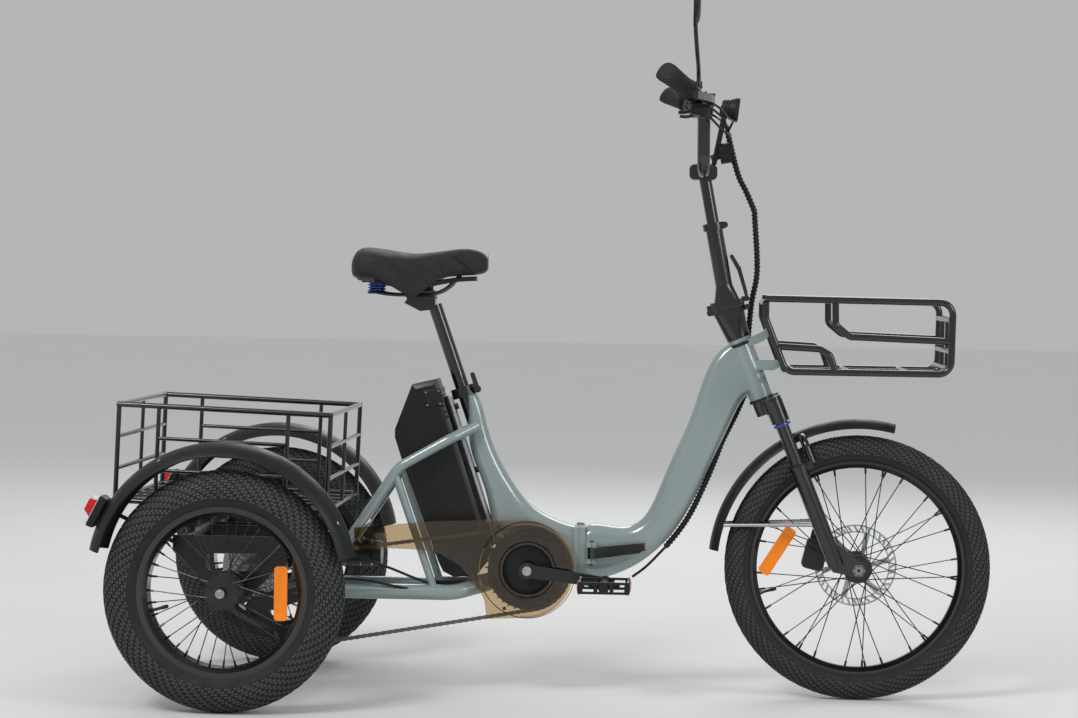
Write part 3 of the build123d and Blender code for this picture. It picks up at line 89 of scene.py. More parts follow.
def spot(x: float, y: float, z: float) -> Vector:
    """World point from side-view millimetres ahead of the rear axle, to the left, and up."""
    return Vector((REAR_AXLE_X + x / 1000, y / 1000, z / 1000))


def polar(centre: Pair, radius: float, degrees: float, y: float) -> Vector:
    """Point at a radius and an angle round a centre in the side view, at a distance left."""
    a = math.radians(degrees)
    return spot(centre[0] + radius * math.cos(a), y, centre[1] + radius * math.sin(a))


def fork_spot(along: float, ahead: float, y: float = 0.0) -> Vector:
    """Point by its height along the steering axis and its distance ahead of it."""
    a = math.radians(HEAD_ANGLE)
    return spot(HEAD_FOOT_MM[0] - along * math.cos(a) + ahead * math.sin(a), y,
                HEAD_FOOT_MM[1] + along * math.sin(a) + ahead * math.cos(a))


# ---- finishes
class Shader:
    """A material's node tree, with short ways to add and join nodes."""

    def __init__(self, name: str) -> None:
        """Starts an empty material with a Principled shader.

        Args:
            name: Name of the material.
        """
        self.material = bpy.data.materials.new(name)
        self.material.use_nodes = True
        self.tree = self.material.node_tree
        self.tree.nodes.clear()
        self.output = self.tree.nodes.new("ShaderNodeOutputMaterial")
        self.surface = self.tree.nodes.new("ShaderNodeBsdfPrincipled")
        self.tree.links.new(self.surface.outputs[0], self.output.inputs["Surface"])
        self.coords = self.tree.nodes.new("ShaderNodeTexCoord")

    def set(self, **sockets: object) -> None:
        """Sets sockets on the Principled shader; underscores stand for spaces."""
        for key, value in sockets.items():
            self.surface.inputs[key.replace("_", " ")].default_value = value

    def join(self, source: Socket, target: Socket) -> None:
        """Links one socket to another."""
        self.tree.links.new(source, target)

    def add(self, kind: str, **sockets: object) -> bpy.types.Node:
        """Adds a shader node and sets its sockets; underscores stand for spaces."""
        node = self.tree.nodes.new(f"ShaderNode{kind}")
        for key, value in sockets.items():
            node.inputs[key.replace("_", " ")].default_value = value
        return node

    def noise(self, scale: float, detail: float = 3.0, rough: float = 0.5) -> Socket:
        """A noise value over Object coordinates.

        Args:
            scale: Cycles per metre.
            detail: Octaves.
            rough: How strong the fine octaves are.

        Returns:
            The noise node's value socket.
        """
        node = self.add("TexNoise", Scale=scale, Detail=detail, Roughness=rough)
        self.join(self.coords.outputs["Object"], node.inputs["Vector"])
        return node.outputs[0]

    def cells(self, scale: float, smooth: bool = False) -> Socket:
        """Distance to the nearest cell centre, for grain and pebbling."""
        node = self.add("TexVoronoi")
        node.feature = "SMOOTH_F1" if smooth else "F1"
        node.inputs["Scale"].default_value = scale
        self.join(self.coords.outputs["Object"], node.inputs["Vector"])
        return node.outputs["Distance"]

    def span(self, value: Socket, low: float, high: float,
             out_low: float = 0.0, out_high: float = 1.0) -> Socket:
        """Maps a value's range to another range.

        Args:
            value: Socket to map.
            low: Value that gives out_low.
            high: Value that gives out_high.
            out_low: Result at low.
            out_high: Result at high.

        Returns:
            The mapped value's socket.
        """
        node = self.add("MapRange", From_Min=low, From_Max=high, To_Min=out_low, To_Max=out_high)
        self.join(value, node.inputs["Value"])
        return node.outputs["Result"]

    def shade(self, value: Socket, dark: Colour, light: Colour) -> Socket:
        """A colour between two by a value from 0 to 1."""
        node = self.add("Mix")
        node.data_type = "RGBA"
        node.inputs["A"].default_value = (*dark, 1.0)
        node.inputs["B"].default_value = (*light, 1.0)
        self.join(value, node.inputs["Factor"])
        return node.outputs["Result"]

    def bump(self, height: Socket, depth: float, strength: float = 1.0) -> None:
        """Raises the surface by a height, on top of any bump added before.

        Args:
            height: Height value.
            depth: Height of a value of 1, in metres.
            strength: Share of the effect.
        """
        node = self.add("Bump", Distance=depth, Strength=strength)
        self.join(height, node.inputs["Height"])
        normal = self.surface.inputs["Normal"]
        if normal.is_linked:
            self.join(normal.links[0].from_socket, node.inputs["Normal"])
        self.join(node.outputs["Normal"], normal)

    def colour(self, value: Socket, dark: Colour, light: Colour) -> None:
        """Blends the base colour between two by a value."""
        self.join(self.shade(value, dark, light), self.surface.inputs["Base Color"])

    def roughen(self, value: Socket, low: float, high: float) -> None:
        """Varies the roughness by the middle of a noise value's range."""
        self.join(self.span(value, 0.3, 0.7, low, high), self.surface.inputs["Roughness"])


def tint(colour: Colour, share: float) -> Colour:
    """A colour made darker or brighter by a share, up to full brightness."""
    return tuple(min(1.0, c * share) for c in colour)


def linear(code: str) -> Colour:
    """Linear colour from a hexadecimal screen colour."""
    parts = [int(code[i:i + 2], 16) / 255 for i in (0, 2, 4)]
    return tuple(c / 12.92 if c <= 0.04045 else ((c + 0.055) / 1.055) ** 2.4 for c in parts)


@dataclass(frozen=True)
class Paint:
    """Sprayed paint or powder coat over metal.

    Attributes:
        name: Name of the finish.
        code: Screen colour.
        rough: Roughness of the surface.
        coat: Weight of the clear coat.
        metallic: Share of metal flake.
        grain: Depth of the coat's texture in metres.
        grain_scale: Texture cells per metre.
    """

    name: str
    code: str
    rough: float = 0.35
    coat: float = 0.4
    metallic: float = 0.0
    grain: float = 0.00006
    grain_scale: float = 420.0

    def make(self) -> bpy.types.Material:
        """Builds the material."""
        s = Shader(self.name)
        base = linear(self.code)
        cloud = s.span(s.noise(5, 2), 0.3, 0.7)
        s.colour(cloud, tint(base, 0.97), tint(base, 1.02))
        s.roughen(s.noise(12, 2), self.rough - 0.01, self.rough + 0.03)
        s.set(Metallic=self.metallic, Coat_Weight=self.coat, Coat_Roughness=0.12)
        s.bump(s.noise(self.grain_scale, 2), self.grain)
        return s.material


@dataclass(frozen=True)
class Rubber:
    """Moulded rubber or soft plastic with a fine pebble.

    Attributes:
        name: Name of the finish.
        code: Screen colour.
        rough: Roughness.
        pebble: Depth of the pebble in metres.
        pebble_scale: Pebbles per metre.
        dust: Share of pale dust, spread by noise.
    """

    name: str
    code: str
    rough: float = 0.75
    pebble: float = 0.0001
    pebble_scale: float = 900.0
    dust: float = 0.15

    def make(self) -> bpy.types.Material:
        """Builds the material."""
        s = Shader(self.name)
        base = linear(self.code)
        pale = tuple(c + self.dust * 0.10 for c in base)
        s.colour(s.span(s.noise(22, 6, 0.65), 0.38, 0.72), base, pale)
        s.roughen(s.noise(40, 4), self.rough - 0.08, self.rough + 0.08)
        s.set(Specular_IOR_Level=0.35)
        s.bump(s.cells(self.pebble_scale), self.pebble)
        s.bump(s.noise(160, 3), self.pebble * 1.5, 0.5)
        return s.material


@dataclass(frozen=True)
class Metal:
    """Bare or plated metal, turned or brushed.

    Attributes:
        name: Name of the finish.
        code: Screen colour.
        rough: Roughness.
        scratch: Depth of the fine marks in metres.
    """

    name: str
    code: str
    rough: float = 0.3
    scratch: float = 0.00002

    def make(self) -> bpy.types.Material:
        """Builds the material."""
        s = Shader(self.name)
        base = linear(self.code)
        s.colour(s.span(s.noise(90, 5, 0.6), 0.3, 0.7), tint(base, 0.8), base)
        s.roughen(s.noise(240, 4), self.rough - 0.06, self.rough + 0.1)
        s.set(Metallic=1.0)
        s.bump(s.noise(1500, 2), self.scratch)
        return s.material


@dataclass(frozen=True)
class Clear:
    """See-through moulded plastic or glass.

    Attributes:
        name: Name of the finish.
        code: Screen colour.
        passing: Share of light let through.
        rough: Roughness.
        ridges: Prism ridges per metre, or 0 for none.
    """

    name: str
    code: str
    passing: float = 0.5
    rough: float = 0.12
    ridges: float = 0.0

    def make(self) -> bpy.types.Material:
        """Builds the material."""
        s = Shader(self.name)
        base = linear(self.code)
        s.colour(s.noise(30, 3), tint(base, 0.9), base)
        s.roughen(s.noise(80, 3), self.rough, self.rough + 0.06)
        s.set(Transmission_Weight=self.passing, IOR=1.45)
        if self.ridges:
            s.bump(s.cells(self.ridges), 0.0006)
        return s.material


@dataclass(frozen=True)
class Cover:
    """Stitched synthetic leather over foam.

    Attributes:
        name: Name of the finish.
        code: Screen colour.
    """

    name: str
    code: str

    def make(self) -> bpy.types.Material:
        """Builds the material."""
        s = Shader(self.name)
        base = linear(self.code)
        s.colour(s.span(s.noise(18, 5), 0.3, 0.7), base, tint(base, 1.25))
        s.roughen(s.noise(70, 4), 0.5, 0.66)
        s.set(Sheen_Weight=0.04, Sheen_Roughness=0.5, Specular_IOR_Level=0.35)
        s.bump(s.cells(1100, True), 0.00035)
        s.bump(s.noise(420, 4), 0.0002)
        return s.material


class Finish(Enum):
    """The finishes of the tricycle."""

    FRAME = Paint("frame_grey_paint", "808d8d", 0.2, 1.0, 0.05, 0.000002, 200)
    BLACK = Paint("black_gloss_paint", "0a0b0c", 0.2, 0.6, 0.0, 0.000005, 500)
    POWDER = Paint("black_powder_coat", "0c0d0e", 0.36, 0.15, 0.0, 0.00003, 900)
    TYRE = Rubber("tyre_rubber", "1c1d1e", 0.72, 0.00010, 1300, 0.05)
    # Lighter rubber for the tread blocks' tops: a painted highlight.
    TREAD = Rubber("tread_rubber", "3d3f41", 0.66, 0.00008, 1500, 0.08)
    GRIP = Rubber("grip_rubber", "1b1b1c", 0.7, 0.00018, 900, 0.1)
    PLASTIC = Rubber("black_moulded_plastic", "0f1011", 0.46, 0.00005, 1600, 0.04)
    FENDER = Rubber("fender_plastic", "131415", 0.4, 0.00003, 1800, 0.04)
    CABLE = Rubber("cable_sleeve", "0d0d0e", 0.45, 0.00006, 1500, 0.03)
    SADDLE = Cover("saddle_cover", "16181a")
    SPOKE = Metal("black_spokes", "3c3e40", 0.32, 0.00001)
    STEEL = Metal("plated_steel", "a9acae", 0.28)
    ALLOY = Metal("machined_alloy", "bfc2c4", 0.3)
    DARK_STEEL = Metal("dark_oxide_steel", "4a4b4d", 0.36)
    CHAIN = Metal("oiled_chain", "77736d", 0.38)
    BLUE = Paint("blue_anodised", "1e4fb0", 0.25, 0.6, 0.6)
    SMOKED = Clear("smoked_guard", "cbb08a", 1.0, 0.02)
    SMOKED_DISC = Clear("smoked_guard_disc", "14110d", 0.0, 0.1)
    AMBER = Clear("amber_reflector", "ff8a10", 0.15, 0.12, 260)
    RED = Clear("red_lens", "c8141c", 0.15, 0.1, 200)
    WHITE = Clear("clear_reflector", "dfe3e6", 0.2, 0.1, 260)
    LAMP = Clear("lamp_lens", "e6ecf0", 0.5, 0.06, 180)
    MIRROR = Metal("mirror_glass", "dfe4e8", 0.06, 0.0)
    SCREEN = Clear("display_window", "0b0d10", 0.0, 0.05)
    # Opaque golden brown for the guard's trim rings, and a painted highlight along its edge.
    SMOKED_EDGE = Clear("smoked_guard_edge", "8d7148", 0.0, 0.1)
    GREY_PLASTIC = Rubber("grey_moulded_plastic", "54575a", 0.5, 0.00008, 1600, 0.08)
    BATTERY = Rubber("battery_plastic", "0c0d0e", 0.34, 0.00002, 2200, 0.02)


@dataclass
class Finishes:
    """Builds each finish once and hands it out."""

    made: dict[Finish, bpy.types.Material] = field(default_factory=dict)

    def get(self, finish: Finish) -> bpy.types.Material:
        """Returns the finish's material, building it the first time."""
        if finish not in self.made:
            self.made[finish] = finish.value.make()
        return self.made[finish]

    def dress(self, piece: Piece, finish: Finish) -> None:
        """Puts a finish on a piece, in the place of its first material."""
        if piece.data.materials:
            piece.data.materials[0] = self.get(finish)
        else:
            piece.data.materials.append(self.get(finish))


# ---- the room
@dataclass
class Studio:
    """Floor, world, lamps and the camera.

    Attributes:
        eye: The camera's place, measured from the rear axle.
        yaw: Its turn about the vertical, in degrees.
        pitch: Its tilt downwards.
        roll: Its turn about its own line of sight.
        focal: Focal length, in the same units as the width.
        width: Width of the camera's frame.
        sensor: Width of the sensor in millimetres.
        daylight: Strength of the surroundings' light.
    """

    eye: Point = (0.8429, -5.1189, 0.8020)
    yaw: float = 3.222
    pitch: float = 1.675
    roll: float = 0.897
    focal: float = 2624.4
    width: float = 1078.0
    sensor: float = 36.0
    daylight: float = 0.72

    def camera(self) -> None:
        """Places the camera at its measured stand and turn."""
        data = bpy.data.cameras.new("camera")
        camera = bpy.data.objects.new("camera", data)
        bpy.context.scene.collection.objects.link(camera)
        yaw, pitch, roll = (math.radians(a) for a in (self.yaw, self.pitch, self.roll))
        ahead = Vector((-math.sin(yaw) * math.cos(pitch), math.cos(yaw) * math.cos(pitch),
                        -math.sin(pitch)))
        right = Vector((math.cos(yaw), math.sin(yaw), 0))
        up = right.cross(ahead)
        turned_right = right * math.cos(roll) + up * math.sin(roll)
        turned_up = up * math.cos(roll) - right * math.sin(roll)
        turn = Matrix((turned_right, turned_up, -ahead)).transposed().to_4x4()
        place = Matrix.Translation((self.eye[0] + REAR_AXLE_X, self.eye[1], self.eye[2]))
        camera.matrix_world = place @ turn
        data.sensor_width = self.sensor
        data.lens = self.sensor * self.focal / self.width
        data.clip_end = 60
        bpy.context.scene.camera = camera

    def floor(self) -> None:
        """Lays a wide pale floor."""
        bpy.ops.mesh.primitive_plane_add(size=60, location=(0, 0, 0))
        ground = bpy.context.object
        ground.name = "floor"
        s = Shader("pale_floor")
        s.colour(s.noise(1.2, 3), (0.62, 0.62, 0.61), (0.66, 0.66, 0.65))
        s.set(Roughness=0.85, Specular_IOR_Level=0.1)
        ground.data.materials.append(s.material)

    def lamp(self, name: str, place: Point, aim: Point, size: float, power: float) -> None:
        """Adds a square soft lamp.

        Args:
            name: Name of the lamp.
            place: Where it hangs.
            aim: Point that it faces.
            size: Edge length.
            power: Strength in watts.
        """
        data = bpy.data.lights.new(name, "AREA")
        data.size = size
        data.energy = power
        lamp = bpy.data.objects.new(name, data)
        lamp.location = place
        lamp.rotation_euler = (Vector(aim) - Vector(place)).to_track_quat("-Z", "Y").to_euler()
        bpy.context.scene.collection.objects.link(lamp)

    def world(self) -> None:
        """Sets even pale light, and the grey that the camera and reflections see."""
        world = bpy.data.worlds.new("surroundings")
        world.use_nodes = True
        tree = world.node_tree
        light = tree.nodes["Background"]
        seen = tree.nodes.new("ShaderNodeBackground")
        for node, colour, strength in ((light, (0.93, 0.95, 0.97, 1), self.daylight),
                                       (seen, (0.462, 0.466, 0.468, 1), 1.0)):
            node.inputs[0].default_value = colour
            node.inputs[1].default_value = strength
        path = tree.nodes.new("ShaderNodeLightPath")
        either = path.outputs["Is Camera Ray"]
        for name in ("Is Glossy Ray", "Is Transmission Ray"):
            largest = tree.nodes.new("ShaderNodeMath")
            largest.operation = "MAXIMUM"
            tree.links.new(either, largest.inputs[0])
            tree.links.new(path.outputs[name], largest.inputs[1])
            either = largest.outputs[0]
        mix = tree.nodes.new("ShaderNodeMixShader")
        tree.links.new(either, mix.inputs[0])
        tree.links.new(light.outputs[0], mix.inputs[1])
        tree.links.new(seen.outputs[0], mix.inputs[2])
        tree.links.new(mix.outputs[0], tree.nodes["World Output"].inputs["Surface"])
        bpy.context.scene.world = world
        bpy.context.scene.view_settings.view_transform = "Standard"

    def build(self) -> None:
        """Sets up the whole room."""
        self.world()
        self.floor()
        self.lamp("key", (-2.2, -3.6, 4.2), (0, 0, 0.5), 1.6, 135)
        self.lamp("fill", (3.6, -2.8, 2.4), (0, 0, 0.5), 1.6, 50)
        self.lamp("back", (0.5, 3.8, 3.4), (0, 0, 0.6), 3.0, 70)
        self.camera()


# ---- finishes of the frame's own nodes
NODE_FINISH: dict[str, Finish] = {name: finish for finish, names in {
    Finish.FRAME: "rear_frame_tube front_frame seat_stays chain_stays",
    Finish.BLACK: "rear_basket front_basket fork_lowers fork_crown stem_base stem_post seat_post "
                  "handlebar_post handlebar stem_latch_lever frame_latch_lever seat_clamp_lever "
                  "right_brake_lever left_brake_lever right_rear_rim left_rear_rim front_rim",
    Finish.POWDER: "axle_frame seat_clamp cranks chainring rear_brake_caliper motor_housing "
                   "front_brake_caliper derailleur right_rear_hub left_rear_hub front_hub",
    Finish.PLASTIC: "battery_dock battery_pack saddle_base bar_controls headlight mirror "
                    "right_pedal left_pedal guide_pulley tension_pulley",
    Finish.CABLE: "cable_loom",
    Finish.FENDER: "rear_fenders front_fender",
    Finish.RED: "tail_lights",
    Finish.STEEL: "shaft_bearings frame_hinge_pin cassette saddle_rails",
    Finish.CHAIN: "chain",
    Finish.SMOKED: "chain_guard",
    Finish.SADDLE: "saddle",
    Finish.GRIP: "grips",
    Finish.TYRE: "right_rear_tyre left_rear_tyre front_tyre",
    Finish.SPOKE: "right_rear_spokes left_rear_spokes front_spokes",
}.items() for name in names.split()}


def dress_nodes(frame: dict, finishes: Finishes) -> None:
    """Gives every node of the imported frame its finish."""
    for name, node in frame["nodes"].items():
        finish = finishes.get(NODE_FINISH[name])
        for index in range(len(node.material_slots)):
            node.material_slots[index].material = finish
        if not node.material_slots:
            node.data.materials.append(finish)


# ---- the bench
Test = Callable[[Vector, Vector], bool]
WORLD_UP = Vector((0, 0, 1))
AHEAD = Vector((1, 0, 0))
LEFT = Vector((0, 1, 0))


def clear() -> None:
    """Leaves object mode with nothing selected."""
    if bpy.context.object and bpy.context.object.mode != "OBJECT":
        bpy.ops.object.mode_set(mode="OBJECT")
    bpy.ops.object.select_all(action="DESELECT")


def take(piece: Piece) -> None:
    """Selects one object alone and makes it active."""
    clear()
    piece.select_set(True)
    bpy.context.view_layer.objects.active = piece


def flip(piece: Piece) -> None:
    """Points every face of a finished closed piece outwards."""
    take(piece)
    bpy.ops.object.mode_set(mode="EDIT")
    bpy.ops.mesh.select_all(action="SELECT")
    bpy.ops.mesh.normals_make_consistent(inside=False)
    bpy.ops.object.mode_set(mode="OBJECT")


def sideways(y: float) -> Matrix:
    """Matrix from an outline's plane to the side view, at a distance in millimetres left."""
    turn = Matrix(((1, 0, 0), (0, 0, 1), (0, 1, 0))).to_4x4()
    turn.translation = spot(0, y, 0)
    return turn


def turned_about(degrees: float) -> Matrix:
    """Turn about Z by an angle in degrees."""
    return Matrix.Rotation(math.radians(degrees), 4, "Z")


def outward_way(degrees: float) -> Vector:
    """Direction in the side view at an angle above straight ahead."""
    a = math.radians(degrees)
    return Vector((math.cos(a), 0, math.sin(a)))


def stand(origin: Vector, axis: Vector, hint: Vector = WORLD_UP) -> Matrix:
    """Matrix that sets a piece down with its Z along an axis and its X near a hint.

    Args:
        origin: Where the piece's origin goes.
        axis: Direction of the piece's Z.
        hint: Direction that its X leans to.

    Returns:
        The 4 by 4 matrix.
    """
    z = Vector(axis).normalized()
    x = Vector(hint) - z * Vector(hint).dot(z)
    if x.length < 1e-4:
        x = AHEAD - z * z.x
    x.normalize()
    turn = Matrix((x, z.cross(x), z)).transposed().to_4x4()
    turn.translation = origin
    return turn


def arc(a: Sequence[float], b: Sequence[float], c: Sequence[float], count: int) -> list[Pair]:
    """Points on the arc through three points, both ends included.

    Args:
        a: First end.
        b: A point between.
        c: Other end.
        count: How many points.

    Returns:
        The points in order.
    """
    d = 2 * (a[0] * (b[1] - c[1]) + b[0] * (c[1] - a[1]) + c[0] * (a[1] - b[1]))
    sa, sb, sc = (p[0] ** 2 + p[1] ** 2 for p in (a, b, c))
    x = (sa * (b[1] - c[1]) + sb * (c[1] - a[1]) + sc * (a[1] - b[1])) / d
    y = (sa * (c[0] - b[0]) + sb * (a[0] - c[0]) + sc * (b[0] - a[0])) / d
    radius = math.hypot(a[0] - x, a[1] - y)
    start, through, stop = (math.atan2(p[1] - y, p[0] - x) for p in (a, b, c))
    sweep = (stop - start) % (2 * math.pi)
    if (through - start) % (2 * math.pi) > sweep:
        sweep -= 2 * math.pi
    return [(x + radius * math.cos(start + sweep * i / (count - 1)),
             y + radius * math.sin(start + sweep * i / (count - 1))) for i in range(count)]


class Work:
    """One mesh on the bench, shaped in edit mode and finished with modifiers."""

    def __init__(self, name: str, add: Callable, **size: object) -> None:
        """Adds a primitive at its size and place and opens it for editing.

        Args:
            name: Name of the piece.
            add: The operator that adds the primitive.
            size: The operator's own settings.
        """
        clear()
        add(**size)
        self.piece = bpy.context.object
        self.piece.name = name
        bpy.ops.object.transform_apply(location=True, rotation=True, scale=True)
        bpy.ops.object.mode_set(mode="EDIT")

    @classmethod
    def block(cls, name: str, size: Point, at: Point = (0, 0, 0)) -> "Work":
        """A box of a size around a middle point."""
        return cls(name, bpy.ops.mesh.primitive_cube_add, size=1, scale=size, location=at)

    @classmethod
    def disc(cls, name: str, radius: float, sides: int, height: float = 0.0) -> "Work":
        """A flat filled circle in the XY plane at a height."""
        return cls(name, bpy.ops.mesh.primitive_circle_add, vertices=sides, radius=radius,
                   fill_type="NGON", location=(0, 0, height))

    @classmethod
    def traced(cls, name: str, corners: Sequence[Sequence[float]], filled: bool = True,
               height: float = 0.0) -> "Work":
        """A circle whose corners are moved onto an outline in the XY plane.

        Args:
            name: Name of the piece.
            corners: The outline's corners in order.
            filled: Whether the outline is a face.
            height: Z of the outline.

        Returns:
            The piece on the bench.
        """
        work = cls(name, bpy.ops.mesh.primitive_circle_add, vertices=len(corners), radius=1,
                   fill_type="NGON" if filled else "NOTHING")
        mesh = bmesh.from_edit_mesh(work.piece.data)
        mesh.verts.ensure_lookup_table()
        for corner, (x, y) in zip(mesh.verts, corners):
            corner.co = (x, y, height)
        bmesh.update_edit_mesh(work.piece.data)
        return work

    @classmethod
    def lathe(cls, name: str, rings: Sequence[Pair], sides: int) -> "Work":
        """A disc extruded and scaled ring by ring along its Z.

        Args:
            name: Name of the piece.
            rings: Height and radius of each ring.
            sides: Corners round each ring.

        Returns:
            The piece on the bench.
        """
        height, radius = rings[0]
        work = cls.disc(name, radius, sides, height)
        work.pick_all()
        for step, size in rings[1:]:
            work.extrude((0, 0, step - height))
            work.grow((size / radius, size / radius, 1), (0, 0, step))
            height, radius = step, size
        return work.outward()

    @classmethod
    def spun(cls, name: str, section: Sequence[Sequence[float]], steps: int) -> "Work":
        """A section of radius and height pairs spun about Z in a number of steps."""
        work = cls.traced(name, section, filled=False)
        work.pick_all()
        bpy.ops.transform.rotate(value=math.pi / 2, orient_axis="X", center_override=(0, 0, 0))
        return work.spin(steps).outward()

    def pick(self, test: Test, of: str = "FACE") -> None:
        """Selects faces or edges by their place and direction.

        Args:
            test: Takes the middle and the normal or direction.
            of: FACE or EDGE.
        """
        bpy.ops.mesh.select_mode(type=of)
        bpy.ops.mesh.select_all(action="DESELECT")
        mesh = bmesh.from_edit_mesh(self.piece.data)
        if of == "FACE":
            parts = [(face, face.calc_center_median(), face.normal) for face in mesh.faces]
        else:
            ends = [(edge, edge.verts[0].co, edge.verts[1].co) for edge in mesh.edges]
            parts = [(edge, (a + b) / 2, (b - a).normalized()) for edge, a, b in ends]
        for part, middle, way in parts:
            if test(middle, way):
                part.select_set(True)
        bmesh.update_edit_mesh(self.piece.data, loop_triangles=False, destructive=False)

    def pick_side(self, hand: int = 1) -> None:
        """Selects the faces that look along Z, or against it."""
        self.pick(lambda middle, normal: normal.z * hand > 0.9)

    def thicken(self, height: float) -> None:
        """Makes the flat outline a solid of a height."""
        self.pick_all().extrude((0, 0, height)).outward()

    def pick_all(self) -> "Work":
        """Selects the whole mesh."""
        bpy.ops.mesh.select_all(action="SELECT")
        return self

    def extrude(self, way: Sequence[float]) -> "Work":
        """Pulls the selection out along a vector."""
        bpy.ops.mesh.extrude_region_move(TRANSFORM_OT_translate={"value": tuple(way)})
        return self

    def grow(self, factor: Sequence[float], centre: Sequence[float] = (0, 0, 0)) -> "Work":
        """Scales the selection about a point."""
        bpy.ops.transform.resize(value=tuple(factor), center_override=tuple(centre))
        return self

    def inset(self, width: float, height: float = 0.0, each: bool = False) -> "Work":
        """Insets the selected faces and raises them by a height."""
        bpy.ops.mesh.inset(thickness=width, depth=height, use_individual=each,
                           use_even_offset=True)
        return self

    def bevel(self, width: float, steps: int = 2) -> "Work":
        """Rounds the selected edges."""
        bpy.ops.mesh.bevel(offset=width, segments=steps, affect="EDGES")
        return self

    def spin(self, steps: int) -> "Work":
        """Turns the selected outline once round Z and closes the seam."""
        bpy.ops.mesh.spin(steps=steps, angle=2 * math.pi, axis=(0, 0, 1), center=(0, 0, 0))
        bpy.ops.mesh.select_all(action="SELECT")
        bpy.ops.mesh.remove_doubles(threshold=0.00002)
        return self

    def outward(self) -> "Work":
        """Points every face outwards."""
        bpy.ops.mesh.select_all(action="SELECT")
        bpy.ops.mesh.normals_make_consistent(inside=False)
        return self

    def modify(self, kind: str, **settings: object) -> "Work":
        """Adds a modifier, sets it and applies it."""
        bpy.ops.object.mode_set(mode="OBJECT")
        modifier = self.piece.modifiers.new(kind.lower(), kind)
        for key, value in settings.items():
            setattr(modifier, key, value)
        bpy.ops.object.modifier_apply(modifier=modifier.name)
        bpy.ops.object.mode_set(mode="EDIT")
        return self

    def soften(self, width: float, steps: int = 2, angle: float = 40) -> "Work":
        """Rounds every sharp edge by a bevel modifier."""
        return self.modify("BEVEL", width=width, segments=steps, limit_method="ANGLE",
                           angle_limit=math.radians(angle))

    def done(self, place: Matrix | None = None, smooth: float = 35.0) -> Piece:
        """Leaves edit mode, sets the piece in its place and shades it.

        Args:
            place: Where the piece goes from the bench.
            smooth: Angle in degrees below which edges are smooth.

        Returns:
            The finished object.
        """
        bpy.ops.object.mode_set(mode="OBJECT")
        if place is not None:
            self.piece.matrix_world = place
            bpy.ops.object.transform_apply(location=True, rotation=True, scale=True)
        bpy.ops.object.shade_smooth_by_angle(angle=math.radians(smooth))
        return self.piece


def join(name: str, pieces: Sequence[Piece]) -> Piece:
    """Makes several pieces one object."""
    take(pieces[0])
    for piece in pieces[1:]:
        piece.select_set(True)
    if len(pieces) > 1:
        bpy.ops.object.join()
    pieces[0].name = name
    return pieces[0]


def set_out(name: str, pattern: Piece, places: Sequence[Matrix]) -> Piece:
    """Copies a piece to every place and joins the copies.

    Args:
        name: Name of the joined piece.
        pattern: The piece modelled once; it is used up.
        places: Where each copy goes.

    Returns:
        The joined piece.
    """
    copies = []
    for place in places:
        copy = bpy.data.objects.new(name, pattern.data.copy())
        copy.data.transform(place)
        bpy.context.scene.collection.objects.link(copy)
        copies.append(copy)
    bpy.data.objects.remove(pattern)
    return join(name, copies)


def turned(name: str, rings: Sequence[Pair], sides: int,
           place: Matrix | None = None, smooth: float = 35.0) -> Piece:
    """A lathe-turned piece.

    Args:
        name: Name of the piece.
        rings: Height and radius of each ring.
        sides: Corners round each ring.
        place: Where the piece goes.
        smooth: Shading angle in degrees.

    Returns:
        The finished object.
    """
    return Work.lathe(name, rings, sides).done(place, smooth)


def hose(name: str, points: Sequence[Vector], radius: float, sides: int,
         tight: bool = False) -> Piece:
    """A round tube along a smooth path, closed at both ends.

    Args:
        name: Name of the piece.
        points: The path's points in order.
        radius: Radius of the tube.
        sides: Corners round the tube.
        tight: Whether the points lie close together and need fewer steps between them.

    Returns:
        The finished mesh.
    """
    clear()
    bpy.ops.curve.primitive_nurbs_path_add()
    line = bpy.context.object
    line.name = name
    spline = line.data.splines[0]
    if len(points) > 5:
        spline.points.add(len(points) - 5)
    if len(points) < 5:
        line.data.splines.remove(spline)
        spline = line.data.splines.new("NURBS")
        spline.points.add(len(points) - 1)
    for knot, point in zip(spline.points, points):
        knot.co = (*point, 1.0)
    spline.order_u = 3 if len(points) > 2 else 2
    spline.use_endpoint_u = True
    spline.resolution_u = 5 if tight else 8
    line.data.dimensions = "3D"
    line.data.bevel_depth = radius
    line.data.bevel_resolution = max(1, sides // 2 - 1)
    line.data.use_fill_caps = True
    bpy.ops.object.convert(target="MESH")
    bpy.ops.object.transform_apply(location=True, rotation=True, scale=True)
    bpy.ops.object.shade_smooth_by_angle(angle=math.radians(50))
    return bpy.context.object


@dataclass
class Bench:
    """Dresses finished pieces and sets them on their bodies."""

    finishes: Finishes
    count: int = 0

    def fit(self, piece: Piece, finish: Finish, body: str,
            replaces: Sequence[str] = ()) -> Piece:
        """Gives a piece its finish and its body.

        Args:
            piece: The finished object.
            finish: Its finish.
            body: The body that it moves with.
            replaces: Nodes of the frame that it stands for.

        Returns:
            The piece.
        """
        self.finishes.dress(piece, finish)
        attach(piece, body)
        if replaces:
            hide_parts(*replaces)
        self.count += 1
        log.info("%3d %-28s on %-14s %6d faces", self.count, piece.name, body,
                 len(piece.data.polygons))
        return piece


